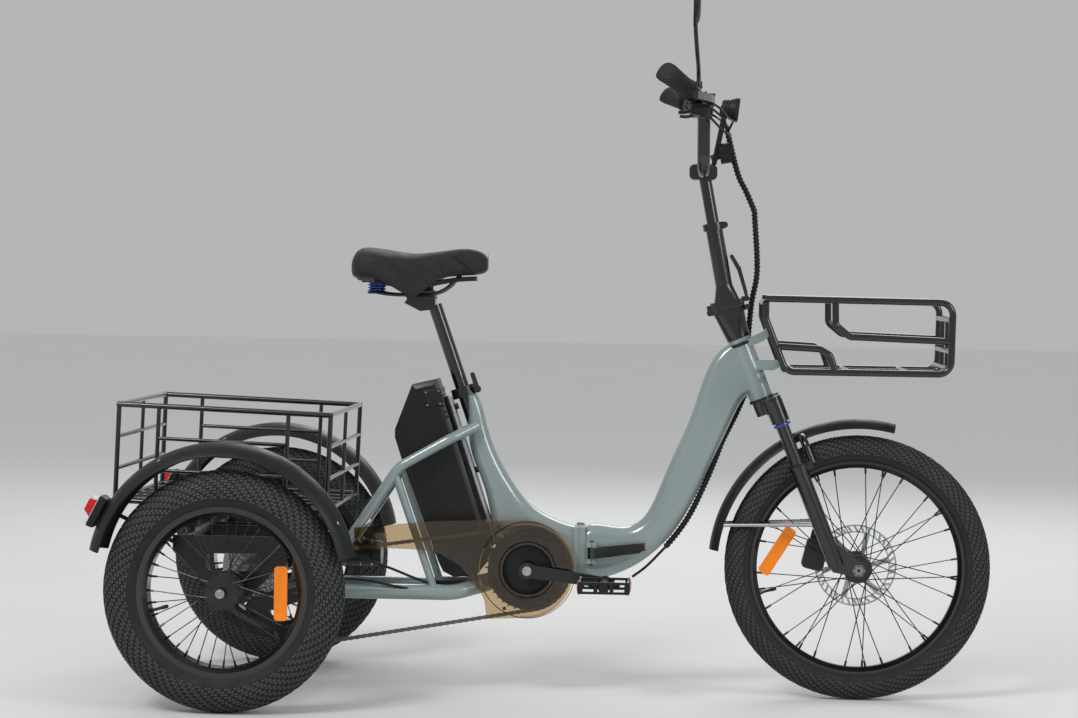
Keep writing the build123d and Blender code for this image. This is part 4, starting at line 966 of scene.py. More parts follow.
# ---- wheels
@dataclass
class Wheel:
    """One wheel: treaded tyre, spokes with nipples, reflector, valve and hub trim.

    Attributes:
        name: Name of the wheel, as in its nodes.
        body: Body that it turns on.
        x: Axle ahead of the rear axle, in millimetres.
        y: Middle of the wheel to the left.
        radius: Outside of the tyre, and the axle's height.
        width: Width of the tyre.
        bead: Radius of the bead.
        rim_inner: Inner radius of the rim.
        flange: Radius of the spoke holes in the hub.
        spread: Distance of each flange from the middle.
        lace: Angle between hub hole and rim hole, in degrees.
        steps: Tread blocks round the tyre.
        strips: Tread blocks across the tyre.
        reflector: Radius, shift to the left, length, angle and tilt of the reflector.
        per_family: Spokes that leave one flange in one direction.
        valve_angle: Where the valve stands, in degrees.
    """

    name: str
    body: str
    x: float
    y: float
    radius: float
    width: float
    bead: float
    rim_inner: float
    flange: float
    spread: float
    lace: float
    steps: int
    strips: int
    reflector: tuple[float, float, float, float, float]
    per_family: int = 9
    valve_angle: float = 196

    def seat(self, y: float | None = None) -> Matrix:
        """Matrix from the wheel's plane, with Z along the axle, to its middle or another y."""
        return stand(spot(self.x, self.y if y is None else y, self.radius), -LEFT, AHEAD)

    def tyre(self) -> Piece:
        """Spins the tyre's section and raises its tread blocks, whose tops take a lighter rubber
        as a painted highlight.
        """
        half, w = self.width / 2000 - 0.0016, self.width / 1000
        bead, top = self.bead / 1000, (self.radius - 1.9) / 1000
        middle = (self.radius + self.bead) / 2000 + 0.002
        shoulder = (0.66 * half, top - 0.13 * w + 0.0019)
        wall = arc((-0.62 * half, bead), (-half, middle), (-shoulder[0], shoulder[1]), 15)
        wall[2] = (wall[2][0] - 0.0012, wall[2][1])
        wall[5] = (wall[5][0] - 0.0007, wall[5][1])
        crown = arc((-shoulder[0], shoulder[1]), (0, top), shoulder, self.strips + 1)
        outer = [*wall[:-1], *crown, *[(-u, r) for u, r in reversed(wall[:-1])]]
        inner = [(0.5 * half, bead), (0.5 * half, bead + 0.006), (0.78 * half, middle),
                 (0.4 * half, top - 0.012), (-0.4 * half, top - 0.012), (-0.78 * half, middle),
                 (-0.5 * half, bead + 0.006), (-0.5 * half, bead)]
        work = Work.spun(f"{self.name}_treaded_tyre", [(r, u) for u, r in outer + inner],
                         self.steps)
        rows = [((a[0] + b[0]) / 2, (a[1] + b[1]) / 2) for a, b in zip(outer, outer[1:])]
        pitch, last = 2 * math.pi / self.steps, len(rows) - 1

        def raised(at: Vector, normal: Vector) -> bool:
            out = math.hypot(at.x, at.y)
            row = min(range(len(rows)), key=lambda i: abs(abs(rows[i][0]) - abs(at.z))
                      + abs(rows[i][1] - out) + (0.001 if rows[i][0] * at.z < 0 else 0))
            if math.hypot(abs(rows[row][0]) - abs(at.z), rows[row][1] - out) > 0.0015:
                return False
            if row < 5 or row > last - 5:
                return False
            turn = int((math.atan2(at.y, at.x) + math.pi) / pitch + 0.01)
            return (turn + abs(2 * row - last) // 2) % 3 != 2

        for _ in range(2):
            bpy.ops.object.material_slot_add()
        work.pick(raised)
        work.inset(0.0006, 0.0, each=True)
        bpy.ops.mesh.extrude_region_shrink_fatten(TRANSFORM_OT_shrink_fatten={"value": 0.0016})
        # The block tops take the second, lighter rubber: a painted highlight.
        work.piece.active_material_index = 1
        bpy.ops.object.material_slot_assign()
        return work.done(self.seat(), 30)

    def spokes(self) -> Piece:
        """Laces the spokes, each with its head and nipple."""
        strands = []
        step = 360.0 / self.per_family
        for hand, turn, count in product(HANDS, (-1, 1), range(self.per_family)):
            start = (count + (0.25 if hand > 0 else 0.0)) * step + (turn + 1) * step / 4
            hub = self.around(self.flange - 4, start, hand * self.spread + turn * 1.6)
            end = self.around(self.rim_inner + 2, start + turn * self.lace,
                              hand * 4.5 + turn * 1.6)
            way = end - hub
            long = way.length
            strands.append(turned("spoke", [(0, 0.0024), (0.0016, 0.0024), (0.0022, 0.0011),
                                            (long - 0.014, 0.0010), (long - 0.0135, 0.0021),
                                            (long, 0.0023)], 6, stand(hub, way)))
        return join(f"{self.name}_laced_spokes", strands)

    def around(self, radius: float, angle: float, side: float) -> Vector:
        """Point at a radius and angle round the axle, and a distance to the left."""
        return polar((self.x, self.radius), radius, angle, self.y + side)

    def lens(self) -> tuple[Piece, Piece]:
        """Makes the reflector's lens and the clip behind it."""
        radius, side, length, angle, tilt = self.reflector
        place = stand(self.around(radius, angle, side - 2.5), -LEFT, outward_way(tilt))
        work = Work.block(f"{self.name}_reflector_lens", (length / 1000, 0.024, 0.005))
        work.pick(lambda m, d: abs(d.z) > 0.9, "EDGE")
        work.bevel(0.006, 4)
        work.pick_side()
        work.inset(0.0014, 0.0)
        work.inset(0.0012, -0.0007)
        lens = work.done(place)
        clip = Work.block(f"{self.name}_reflector_clip", (0.02, 0.018, 0.004), (0, 0, -0.0045))
        clip.pick_side(-1)
        clip.inset(0.003, 0.002)
        clip.soften(0.0008)
        return lens, clip.done(place)

    def valve(self) -> Piece:
        """Turns the valve stem that stands on the rim."""
        foot = self.around(self.rim_inner + 1, self.valve_angle, 0)
        tip = self.around(self.rim_inner - 34, self.valve_angle, 0)
        return turned(f"{self.name}_valve", [(0, 0.0042), (0.004, 0.0042), (0.006, 0.003),
                                             (0.022, 0.003), (0.0222, 0.0038), (0.032, 0.0036),
                                             (0.034, 0.002)], 10, stand(foot, tip - foot))

    def nuts(self) -> Piece:
        """Turns the axle nut with its washer, on both ends or on the outer side."""
        if self.name == "front":
            hands, foot, nut, sides = HANDS, 0.0640, 0.0085, 6
        else:
            hands, foot, nut, sides = (-1 if self.y < 0 else 1,), 0.0455, 0.0052, 18
        rings = [(-0.004, nut + 0.0035), (-0.001, nut + 0.0035), (-0.0009, nut), (0.0, nut),
                 (0.0004, nut * 0.88), (0.00041, nut * 0.5), (-0.0012, nut * 0.46)]
        ends = [turned("nut", rings, sides,
                       stand(spot(self.x, self.y + hand * foot * 1000, self.radius), LEFT * hand))
                for hand in hands]
        return join(f"{self.name}_axle_nuts", ends)

    def rotor(self, y: float, rings: Sequence[Sequence[float]]) -> Piece:
        """A drilled brake rotor: rings joined by short bars, on slanted arms.

        Args:
            y: Middle of the rotor, in millimetres to the left.
            rings: Inner and outer radius of each ring, in metres.

        Returns:
            The rotor.
        """
        place = self.seat(y)
        parts = [ring("band", band(a, b, -0.00095, 0.00095), 72, place) for a, b in rings]
        bar = Work.block("bar", (0.0125, 0.0042, 0.0018))
        bar.soften(0.0003, 1)
        parts.append(set_out("bars", bar.done(), [
            place @ turned_about(10 * i) @ Matrix.Translation((0.0715, 0, 0)) @ turned_about(32)
            for i in range(36)]))
        arm = Work.block("arm", (0.042, 0.0075, 0.0018))
        arm.pick(lambda m, n: n.x > 0.9)
        arm.grow((1, 1.6, 1), (0.021, 0, 0))
        arm.soften(0.0004, 1)
        parts.append(set_out("arms", arm.done(), [
            place @ turned_about(60 * i) @ Matrix.Translation((0.045, 0.006, 0)) @ turned_about(18)
            for i in range(6)]))
        return join(f"{self.name}_rotor", parts)

    def front_hub(self) -> Piece:
        """The front hub's shell with its flanges and disc seat."""
        section = [(-44, 5.3), (-44, 11), (-34, 14), (-32.4, 27), (-31.6, 28), (-29.4, 28),
                   (-28.6, 27), (-25, 15), (-10, 13.4), (10, 13.4), (25, 15), (28.6, 27),
                   (29.4, 28), (31.6, 28), (32.4, 27), (34, 20), (35.6, 20.5), (35.6, 26),
                   (38.4, 26), (38.4, 20), (44, 11), (44, 5.3)]
        return ring("front_hub_shell", [(r / 1000, -u / 1000) for u, r in section], 48,
                    self.seat())

    def build(self, bench: Bench) -> None:
        """Builds the whole wheel."""
        tyre = bench.fit(self.tyre(), Finish.TYRE, self.body, [f"{self.name}_tyre"])
        # The second slot holds the lighter rubber, a painted highlight on the tread blocks' tops.
        tyre.data.materials[1] = bench.finishes.get(Finish.TREAD)
        bench.fit(self.spokes(), Finish.SPOKE, self.body, [f"{self.name}_spokes"])
        lens, clip = self.lens()
        bench.fit(lens, Finish.AMBER, self.body)
        bench.fit(clip, Finish.PLASTIC, self.body)
        bench.fit(self.valve(), Finish.PLASTIC, self.body)
        bench.fit(self.nuts(), Finish.STEEL, self.body)
        if self.name == "front":
            bench.fit(self.front_hub(), Finish.POWDER, self.body, ["front_hub"])
            rotor = self.rotor(37.0, ((0.0225, 0.0285), (0.0645, 0.0672), (0.0768, 0.08)))
            bench.fit(rotor, Finish.ALLOY, self.body)
        if self.name == "left_rear":
            face = ring("rear_rotor_face", band(0.06, 0.0801, -0.0012, 0.0012), 72,
                        self.seat(96.0))
            bench.fit(face, Finish.ALLOY, self.body)


def wheels() -> list[Wheel]:
    """The three wheels."""
    rear = dict(x=0.0, radius=224.5, width=76.0, bead=154.0, rim_inner=140.0, flange=32.0,
                spread=26.0, lace=20.0, steps=186, strips=8,
                reflector=(108.0, -15.2, 100.0, 0.0, 90.0))
    return [
        Wheel(name="right_rear", body="right_wheel", y=-343.0, **rear),
        Wheel(name="left_rear", body="left_wheel", y=343.0, **rear),
        Wheel(name="front", body="front_wheel", x=FRONT_AXLE_MM[0], y=0.0,
              radius=FRONT_AXLE_MM[1], width=54.0, bead=207.0, rim_inner=194.0, flange=28.0,
              spread=30.0, lace=56.0, steps=216, strips=8,
              reflector=(158.0, -12.7, 104.0, 169.0, 58.0)),
    ]


# ---- shared shapes
def ring(name: str, section: Sequence[Sequence[float]], steps: int, place: Matrix) -> Piece:
    """A ring spun about Z from a closed section of radius and height pairs.

    Args:
        name: Name of the piece.
        section: Corners of the section.
        steps: Steps round the ring.
        place: Where the ring goes.

    Returns:
        The finished object.
    """
    return Work.spun(name, section, steps).done(place)


def band(inner: float, outer: float, low: float, high: float) -> list[Pair]:
    """Rectangular section between two radii and two heights."""
    return [(inner, low), (outer, low), (outer, high), (inner, high)]


def smooth_path(points: Sequence[Vector], per_run: int) -> list[Vector]:
    """Points on a smooth line through given points.

    Args:
        points: Points that the line goes through.
        per_run: Points made for each run.

    Returns:
        The line's points in order.
    """
    ends = [points[0] * 2 - points[1], *points, points[-1] * 2 - points[-2]]
    line = []
    for a, b, c, d in zip(ends, ends[1:], ends[2:], ends[3:]):
        for i in range(per_run):
            t = i / per_run
            line.append(0.5 * (2 * b + (c - a) * t + (2 * a - 5 * b + 4 * c - d) * t * t
                               + (3 * b - a - 3 * c + d) * t ** 3))
    return [*line, points[-1]]


def coil(points: Sequence[Vector], radius: float, pitch: float, per_turn: int = 8) -> list[Vector]:
    """A helix wound round a line.

    Args:
        points: The line, with points close together.
        radius: Radius of the helix.
        pitch: Distance along the line for one turn.
        per_turn: Points for each turn.

    Returns:
        The helix's points.
    """
    out, travel, after = [], 0.0, 0.0
    side = (points[1] - points[0]).orthogonal().normalized()
    for a, b in zip(points, points[1:]):
        way = b - a
        side = (side - way.normalized() * side.dot(way.normalized())).normalized()
        other = way.normalized().cross(side)
        while after <= travel + way.length:
            turn = 2 * math.pi * after / pitch
            middle = a + way * ((after - travel) / way.length)
            out.append(middle + side * (radius * math.cos(turn))
                       + other * (radius * math.sin(turn)))
            after += pitch / per_turn
        travel += way.length
    return out


def mould(work: Work, shape: Callable[[Vector], Vector]) -> Work:
    """Moves every corner of the piece on the bench by a rule."""
    mesh = bmesh.from_edit_mesh(work.piece.data)
    for corner in mesh.verts:
        corner.co = shape(corner.co.copy())
    bmesh.update_edit_mesh(work.piece.data)
    return work


def side_plate(name: str, corners: Sequence[Pair], low: float, high: float,
               soft: float) -> Piece:
    """A plate cut to an outline in the side view, from one distance left to another.

    Args:
        name: Name of the piece.
        corners: Outline in millimetres ahead of the rear axle and up.
        low: Its right face, in millimetres left of the middle.
        high: Its left face.
        soft: Width of the rounded edges.

    Returns:
        The finished object.
    """
    work = Work.traced(name, [(x / 1000, z / 1000) for x, z in corners])
    work.thicken((high - low) / 1000)
    work.soften(soft, 2, 30)
    piece = work.done(sideways(low))
    flip(piece)
    return piece


def screws(name: str, places: Sequence[Matrix], radius: float, height: float) -> Piece:
    """Socket-head screws set at places, each with its hexagon recess."""
    head = turned("screw", [(0, radius), (height * 0.8, radius), (height, radius * 0.85),
                            (height + 0.00001, radius * 0.5), (height * 0.45, radius * 0.48)], 12)
    return set_out(name, head, places)


# ---- drive
@dataclass
class Drive:
    """Chain links, chainring cover, crank caps and the guard's fittings.

    Attributes:
        pitch: Distance between two of the chain's pins, in millimetres.
        line: Middle of the chain to the left.
        crank: Crank axis ahead and up.
        cog: Axis of the sprocket stack.
        guide: Axis of the guide pulley.
        cage: Angle of the derailleur's cage, in degrees.
        reach: Distance between the two pulleys.
        links: Links in the chain.
    """

    pitch: float = 12.7
    line: float = -50.0
    crank: Pair = CRANK_MM
    cog: Pair = (0.0, 224.5)
    guide: Pair = (10.0, 160.0)
    cage: float = -39.534
    reach: float = 88.0
    links: int = 118

    def circles(self) -> list[tuple[float, float, float, int]]:
        """Path circles in the order the chain meets them: x, z, radius and sense."""
        a = math.radians(self.cage)
        radius = self.pitch / (2 * math.pi)
        tension = (self.guide[0] + self.reach * math.cos(a),
                   self.guide[1] + self.reach * math.sin(a))
        return [(*self.cog, 12 * radius, -1), (*self.crank, 40 * radius, -1),
                (*tension, 11 * radius, -1), (*self.guide, 11 * radius, 1)]

    def path(self) -> list[Pair]:
        """Places of the chain's pins, in order."""
        circles = self.circles()
        spans = []
        for first, second in zip(circles, circles[1:] + circles[:1]):
            ra, rb = first[3] * first[2], second[3] * second[2]
            dx, dz = second[0] - first[0], second[1] - first[1]
            way = math.atan2(dz, dx) - math.asin((rb - ra) / math.hypot(dx, dz))
            nx, nz = -math.sin(way), math.cos(way)
            spans.append(((first[0] - ra * nx, first[1] - ra * nz),
                          (second[0] - rb * nx, second[1] - rb * nz)))
        pins = []
        for count in range(self.links):
            travel = count * self.pitch
            for index, (start, stop) in enumerate(spans):
                run = math.dist(start, stop)
                if travel <= run:
                    part = travel / run
                    pins.append((start[0] + part * (stop[0] - start[0]),
                                 start[1] + part * (stop[1] - start[1])))
                    break
                travel -= run
                x, z, radius, sense = circles[(index + 1) % 4]
                leave = spans[(index + 1) % 4][0]
                begin = math.atan2(stop[1] - z, stop[0] - x)
                swept = (math.atan2(leave[1] - z, leave[0] - x) - begin) * sense % (2 * math.pi)
                if travel <= swept * radius:
                    a = begin + sense * travel / radius
                    pins.append((x + radius * math.cos(a), z + radius * math.sin(a)))
                    break
                travel -= swept * radius
        return pins

    def link(self, name: str, gap: float) -> Piece:
        """One link: two waisted plates, its rollers' share and a pin.

        Args:
            name: Name of the pattern.
            gap: Distance of each plate's inner face from the chain's middle.

        Returns:
            The link along X from one pin to the next, with Z across the chain.
        """
        p = self.pitch / 1000
        outline = arc((0.0012, 0.0037), (-0.0041, 0), (0.0012, -0.0037), 7)
        outline += [(p / 2, -0.0028)]
        outline += arc((p - 0.0012, -0.0037), (p + 0.0041, 0), (p - 0.0012, 0.0037), 7)
        outline += [(p / 2, 0.0028)]
        plates = []
        for hand in HANDS:
            work = Work.traced("plate", outline, height=hand * gap)
            work.thicken(hand * 0.001)
            plates.append(work.done())
        outer = gap > 0.002
        radius = 0.0018 if outer else 0.00385
        reach = gap + 0.0014 if outer else gap
        for x in (0.0, p):
            plates.append(turned("pin", [(-reach, radius), (reach, radius)], 10,
                                 Matrix.Translation((x, 0, 0))))
        return join(name, plates)

    def chain(self) -> Piece:
        """Lays inner and outer links in turn round the path."""
        pins = self.path()
        pairs = list(zip(pins, pins[1:] + pins[:1]))
        halves = []
        for part, gap in ((0, 0.0012), (1, 0.0023)):
            places = [stand(spot(a[0], self.line, a[1]), -LEFT,
                            Vector((b[0] - a[0], 0, b[1] - a[1]))) for a, b in pairs[part::2]]
            halves.append(set_out("links", self.link("link", gap), places))
        return join("roller_chain", halves)

    def caps(self) -> Piece:
        """Bright caps on the crank spindle's ends."""
        ends = [turned("cap", [(0, 0.0092), (0.002, 0.0092), (0.003, 0.0082), (0.00301, 0.0045),
                               (0.0012, 0.0042)], 20,
                       stand(self.at(hand * 99.6), LEFT * hand)) for hand in HANDS]
        return join("crank_bolt_caps", ends)

    def at(self, y: float) -> Vector:
        """Point on the crank's axis at a distance to the left."""
        return spot(self.crank[0], y, self.crank[1])

    def hoops(self, name: str, y: float, radii: Sequence[float], section: Sequence[Pair]) -> Piece:
        """Rings of one section round the crank's axis, facing right.

        Args:
            name: Name of the joined rings.
            y: Where they lie, in millimetres to the left.
            radii: Inner radius of each ring.
            section: Corners as added radius and height.

        Returns:
            The joined rings.
        """
        return join(name, [ring("hoop", [(r + wide, high) for wide, high in section], 64,
                                stand(self.at(y), -LEFT)) for r in radii])

    def build(self, bench: Bench) -> None:
        """Builds the drive's pieces."""
        bench.fit(self.chain(), Finish.CHAIN, "rear_frame", ["chain"])
        bench.fit(self.caps(), Finish.ALLOY, "crank")
        # The inner two rings are trim; the outer ring's golden colour is a painted highlight along
        # the guard's edge.
        trim = self.hoops("guard_rings", -82.0, (0.0462, 0.0535, 0.0922),
                          band(0.0, 0.0016, 0.0, 0.0014))
        bench.fit(trim, Finish.SMOKED_EDGE, "rear_frame")
        disc = ring("guard_inner_disc", band(0.0462, 0.0765, 0.0, 0.0006), 72,
                    stand(self.at(-79.2), -LEFT))
        bench.fit(disc, Finish.SMOKED_DISC, "rear_frame")
        places = [stand(spot(x, -82.0, z), -LEFT)
                  for x, z in ((221, 299), (486, 331), (584, 306), (500, 172))]
        bench.fit(screws("guard_screws", places, 0.0036, 0.0022), Finish.DARK_STEEL, "rear_frame")
        cover = ring("chainring_cover", [(0.017, 0.0), (0.0545, 0.0), (0.056, -0.002),
                                         (0.056, -0.0035), (0.017, -0.0035)], 64,
                     stand(self.at(-64.0), -LEFT))
        bench.fit(cover, Finish.PLASTIC, "crank")
        bright = self.hoops("chainring_cover_rings", -64.0, (0.024, 0.0315, 0.0395, 0.0475),
                            [(0.0, 0.0), (0.0016, 0.0), (0.0012, 0.0009), (0.0004, 0.0009)])
        bench.fit(bright, Finish.ALLOY, "crank")
        places = [stand(polar(self.crank, 32, 18 + 72 * i, -53.5), -LEFT) for i in range(5)]
        bench.fit(screws("chainring_bolts", places, 0.0055, 0.003), Finish.DARK_STEEL, "crank")


# ---- saddle
@dataclass
class Saddle:
    """Cushion, seams and painted slot shade, springs, rails and clamp of the saddle.

    Attributes:
        stations: For each station: ahead, half width, underside, top, skirt, channel and crown.
        around: Corners of each station's section.
        spring: Place of the springs, ahead and to each side.
    """

    stations: Sequence[tuple[float, ...]] = (
        (194, 82, 806, 842, 2, 1, 3), (199, 104, 800, 856, 3, 3, 5),
        (214, 118, 798, 865, 4, 6, 6), (240, 121, 801, 864, 10, 8, 6),
        (266, 113, 799, 859, 24, 9, 6), (292, 97, 797, 856, 42, 9, 6),
        (312, 82, 797, 854, 54, 9, 5), (328, 70, 799, 855, 46, 9, 5),
        (346, 59, 802, 857, 26, 9, 5), (366, 50, 806, 860, 11, 8, 5),
        (388, 44, 808, 864, 5, 7, 5), (410, 39, 810, 866, 2, 5, 5),
        (430, 33, 811, 864, 1, 3, 4), (445, 25, 814, 857, 1, 1, 3), (452, 15, 821, 847, 0, 0, 1),
    )
    around: int = 26
    spring: Pair = (235, 50)

    def section(self, station: Sequence[float]) -> list[Vector]:
        """Corners of the cushion's section at a station."""
        x, half, low, high, skirt, channel, crown = station
        middle, rise = (low + high) / 2, (high - low) / 2
        corners = []
        for i in range(self.around):
            t = 2 * math.pi * (i + 0.5) / self.around
            c, s = math.cos(t), math.sin(t)
            y = half * math.copysign(abs(c) ** 0.62, c)
            z = middle + rise * math.copysign(abs(s) ** 0.55, s)
            if s > 0:
                z += crown * (1 - (y / half) ** 2) - crown * 0.5
                z -= channel * math.exp(-(y / 13.0) ** 2)
            else:
                z -= skirt * min(1.0, (abs(y) / half) ** 4) - 3
            corners.append(spot(x, y, z))
        return corners

    def cushion(self) -> Piece:
        """Extrudes the cushion station by station and subdivides it."""
        work = Work.traced("saddle_cushion",
                           [(math.cos(i), math.sin(i)) for i in range(self.around)])
        for index, station in enumerate(self.stations):
            if index:
                work.extrude((0, 0, 0.001))
            mesh = bmesh.from_edit_mesh(work.piece.data)
            mesh.verts.ensure_lookup_table()
            fresh = [v for v in mesh.verts if v.select] if index else list(mesh.verts)
            fresh.sort(key=lambda v: v.index)
            for corner, place in zip(fresh, self.section(station)):
                corner.co = place
            bmesh.update_edit_mesh(work.piece.data)
        work.outward()
        ends = (self.stations[0][0], self.stations[-1][0])
        work.pick(lambda m, n: min(abs(m.x - spot(x, 0, 0).x) for x in ends) < 0.0003)
        bpy.ops.mesh.inset(thickness=0.004, depth=0.0)
        work.modify("SUBSURF", levels=3, render_levels=3)
        return work.done(None, 60)

    def slot_shade_and_seams(self, cushion: Piece) -> Piece:
        """Dark strips laid on the cover's sides: painted shade standing in for the slots, and sewn
        lines.

        Args:
            cushion: The cushion that they lie on.

        Returns:
            The joined lines.
        """
        lines = []
        # Dark strips along these routes: painted shade for the slots, and the seams.
        routes = (([(382, 851), (396, 844), (410, 834), (423, 823)], 0.0034),
                  ([(386, 858), (400, 852), (414, 843), (427, 832)], 0.0012),
                  ([(344, 856), (356, 843), (364, 828), (369, 810)], 0.0018),
                  ([(264, 846), (280, 832), (291, 814), (296, 796), (296, 782)], 0.0008))
        for hand in HANDS:
            for route, size in routes:
                line = smooth_path([Vector((x, 0, z)) for x, z in route], 5)
                laid = []
                for point in line:
                    start = spot(point.x, hand * 300, point.z)
                    hit, place, normal, _ = cushion.ray_cast(start, LEFT * -hand)
                    if hit:
                        laid.append(place - normal * size * 0.55)
                if len(laid) > 3:
                    lines.append(hose("line", laid, size, 6, True))
        return join("saddle_seams", lines)

    def springs(self) -> tuple[Piece, Piece]:
        """Winds the two springs and turns their cups."""
        wires, cups = [], []
        for hand in HANDS:
            x, y = self.spring[0], hand * self.spring[1]
            foot, top = spot(x, y, 779), spot(x, y, 803)
            line = [foot + (top - foot) * (i / 24) for i in range(25)]
            wires.append(hose("spring", coil(line, 0.0105, 0.0054, 10), 0.0019, 8))
            cups.append(turned("cup", [(0, 0.0125), (0.0035, 0.013), (0.0036, 0.0075),
                                       (0.009, 0.0070)], 24,
                               stand(spot(x, y, 775), WORLD_UP)))
            cups.append(turned("cup", [(0, 0.013), (0.004, 0.0125), (0.0041, 0.006)], 24,
                               stand(spot(x, y, 806.5), -WORLD_UP)))
        return join("saddle_springs", wires), join("spring_cups", cups)

    def rails(self) -> Piece:
        """Bends the two rails and the rear bridge."""
        wires = []
        for hand in HANDS:
            line = [(228, 50, 781), (238, 44, 778), (262, 27, 773.5), (310, 22, 773),
                    (350, 21, 775), (375, 17, 787), (392, 13, 806), (398, 11, 812)]
            wires.append(hose("rail", [spot(x, hand * y, z) for x, y, z in line], 0.0035, 10))
        wires.append(hose("bridge", [spot(233, -50, 779), spot(229, -20, 779), spot(229, 20, 779),
                                     spot(233, 50, 779)], 0.0035, 10))
        return join("saddle_rail_wires", wires)

    def clamp(self) -> Piece:
        """The clamp that holds the rails on the seat post's head."""
        pieces = [
            side_plate("clamp_top", [(298, 777), (346, 777), (349, 781), (345, 785), (302, 785),
                                     (296, 781)], -27, 27, 0.0016),
            side_plate("clamp_low", [(296, 765), (350, 764), (352, 770), (346, 775), (300, 775),
                                     (294, 771)], -27, 27, 0.0016),
        ]
        for hand in HANDS:
            pieces.append(turned("clamp_bolt", [(0, 0.0055), (0.004, 0.0055), (0.0045, 0.0048),
                                                (0.00451, 0.0028), (0.0022, 0.0026)], 12,
                                 stand(spot(306 if hand < 0 else 340, 0, 785), WORLD_UP)))
        return join("saddle_clamp", pieces)

    def skirt(self) -> Piece:
        """The grey moulded bumper under the saddle's rear."""
        work = Work.block("saddle_rear_bumper", (0.03, 0.176, 0.012), tuple(spot(213, 0, 806)))
        work.pick_all()
        bpy.ops.mesh.subdivide(number_cuts=9)
        centre = spot(213, 0, 806)

        def bowed(p: Vector) -> Vector:
            t = abs(p.y) / 0.088
            return Vector((p.x + 0.012 * t * t, p.y, p.z - 0.002 * t + (centre.x - p.x) * 0.15))

        mould(work, bowed)
        work.soften(0.003, 3)
        return work.done()

    def build(self, bench: Bench) -> None:
        """Builds the saddle's pieces."""
        cushion = bench.fit(self.cushion(), Finish.SADDLE, "seat", ["saddle"])
        # Dark cable rubber laid as painted shade in the slots, and as seams.
        bench.fit(self.slot_shade_and_seams(cushion), Finish.CABLE, "seat")
        springs, cups = self.springs()
        bench.fit(springs, Finish.BLUE, "seat", ["saddle_rails"])
        bench.fit(cups, Finish.PLASTIC, "seat")
        bench.fit(self.rails(), Finish.BLACK, "seat", ["saddle_rails"])
        bench.fit(self.clamp(), Finish.POWDER, "seat")
        bench.fit(self.skirt(), Finish.GREY_PLASTIC, "seat")


# ---- battery
@dataclass
class Battery:
    """Battery case with facets, lock cover and grip ribs, and the bright rail."""

    half: float = 42.0
    outline: Sequence[Pair] = (
        (358.5, 611), (310, 599), (278, 512), (278, 496), (290, 459), (366, 256), (376, 236),
        (396, 226), (440, 228), (462, 256), (468.9, 279.4), (355, 610),
    )

    def case(self) -> Piece:
        """The case with a chamfered border and a raised spine on both sides."""
        work = Work.traced("battery_case", [(x / 1000, z / 1000) for x, z in self.outline[:-1]])
        work.thicken(0.074)
        work.pick(lambda m, n: abs(n.z) > 0.9)
        work.inset(0.010, 0.0)
        bpy.ops.mesh.select_all(action="SELECT")
        bpy.ops.mesh.bisect(plane_co=(0.335, 0.556, 0), plane_no=(0.92, 0.39, 0))
        mould(work, self.facet)
        work.soften(0.0016, 2, 8)
        piece = work.done(sideways(-37), 25)
        flip(piece)
        return piece

    def facet(self, p: Vector) -> Vector:
        """Raises each side to a spine, with its rear part sloping away."""
        corners = [(x / 1000, z / 1000) for x, z in self.outline[:-1]]
        inside = min(segment_distance(p.x, p.y, a, b)
                     for a, b in zip(corners, corners[1:] + corners[:1]))
        if inside < 0.004:
            return p
        behind = min(0.0, (p.x - 0.335) * 0.92 + (p.y - 0.556) * 0.39)
        return Vector((p.x, p.y, 0.037 + math.copysign(0.0417 + 0.085 * behind, p.z - 0.037)))

    def plate(self) -> list[Piece]:
        """The square lock cover and its four screws, on both sides."""
        covers, places = [], []
        for hand in HANDS:
            place = stand(spot(352, hand * 41.4, 574), LEFT * hand, Vector((0.99, 0, 0.15)))
            work = Work.block("cover", (0.034, 0.034, 0.003))
            work.pick_side()
            work.inset(0.003, 0.0008)
            work.soften(0.0006)
            covers.append(work.done(place))
            places += [place @ Matrix.Translation((u, v, 0.002))
                       for u, v in product((-0.0125, 0.0125), repeat=2)]
        return [join("battery_lock_covers", covers),
                screws("battery_cover_screws", places, 0.0019, 0.0012)]

    def rail(self) -> Piece:
        """The bright strip along the rail, on both sides."""
        strips = []
        a = math.radians(BATTERY_ANGLE)
        for hand in HANDS:
            foot = spot(478.5, hand * 17.6, 289)
            way = Vector((-math.cos(a), 0, math.sin(a)))
            middle = foot + way * 0.152
            work = Work.block("strip", (0.0062, 0.302, 0.0016))
            work.soften(0.0005)
            strips.append(work.done(stand(middle, LEFT * hand,
                                          Vector((math.sin(a), 0, math.cos(a))))))
        return join("battery_rail_strips", strips)

    def ribs(self) -> Piece:
        """Short ribs at the handle end of the case."""
        a = math.radians(BATTERY_ANGLE)
        work = Work.block("rib", (0.010, 0.0035, 0.082))
        work.soften(0.0008)
        places = [stand(spot(362 + 3.4 * i, 0, 588 - 10 * i), LEFT,
                        Vector((math.sin(a), 0, math.cos(a)))) for i in range(6)]
        return set_out("battery_grip_ribs", work.done(), places)

    def build(self, bench: Bench) -> None:
        """Builds the battery's pieces."""
        bench.fit(self.case(), Finish.BATTERY, "battery", ["battery_pack"])
        covers, heads = self.plate()
        bench.fit(covers, Finish.PLASTIC, "battery")
        bench.fit(heads, Finish.STEEL, "battery")
        bench.fit(self.ribs(), Finish.PLASTIC, "battery")
        bench.fit(self.rail(), Finish.ALLOY, "rear_frame")


def segment_distance(x: float, y: float, a: Sequence[float], b: Sequence[float]) -> float:
    """Distance of a point from a straight run between two corners."""
    dx, dy = b[0] - a[0], b[1] - a[1]
    t = max(0.0, min(1.0, ((x - a[0]) * dx + (y - a[1]) * dy) / (dx * dx + dy * dy)))
    return math.hypot(x - a[0] - t * dx, y - a[1] - t * dy)


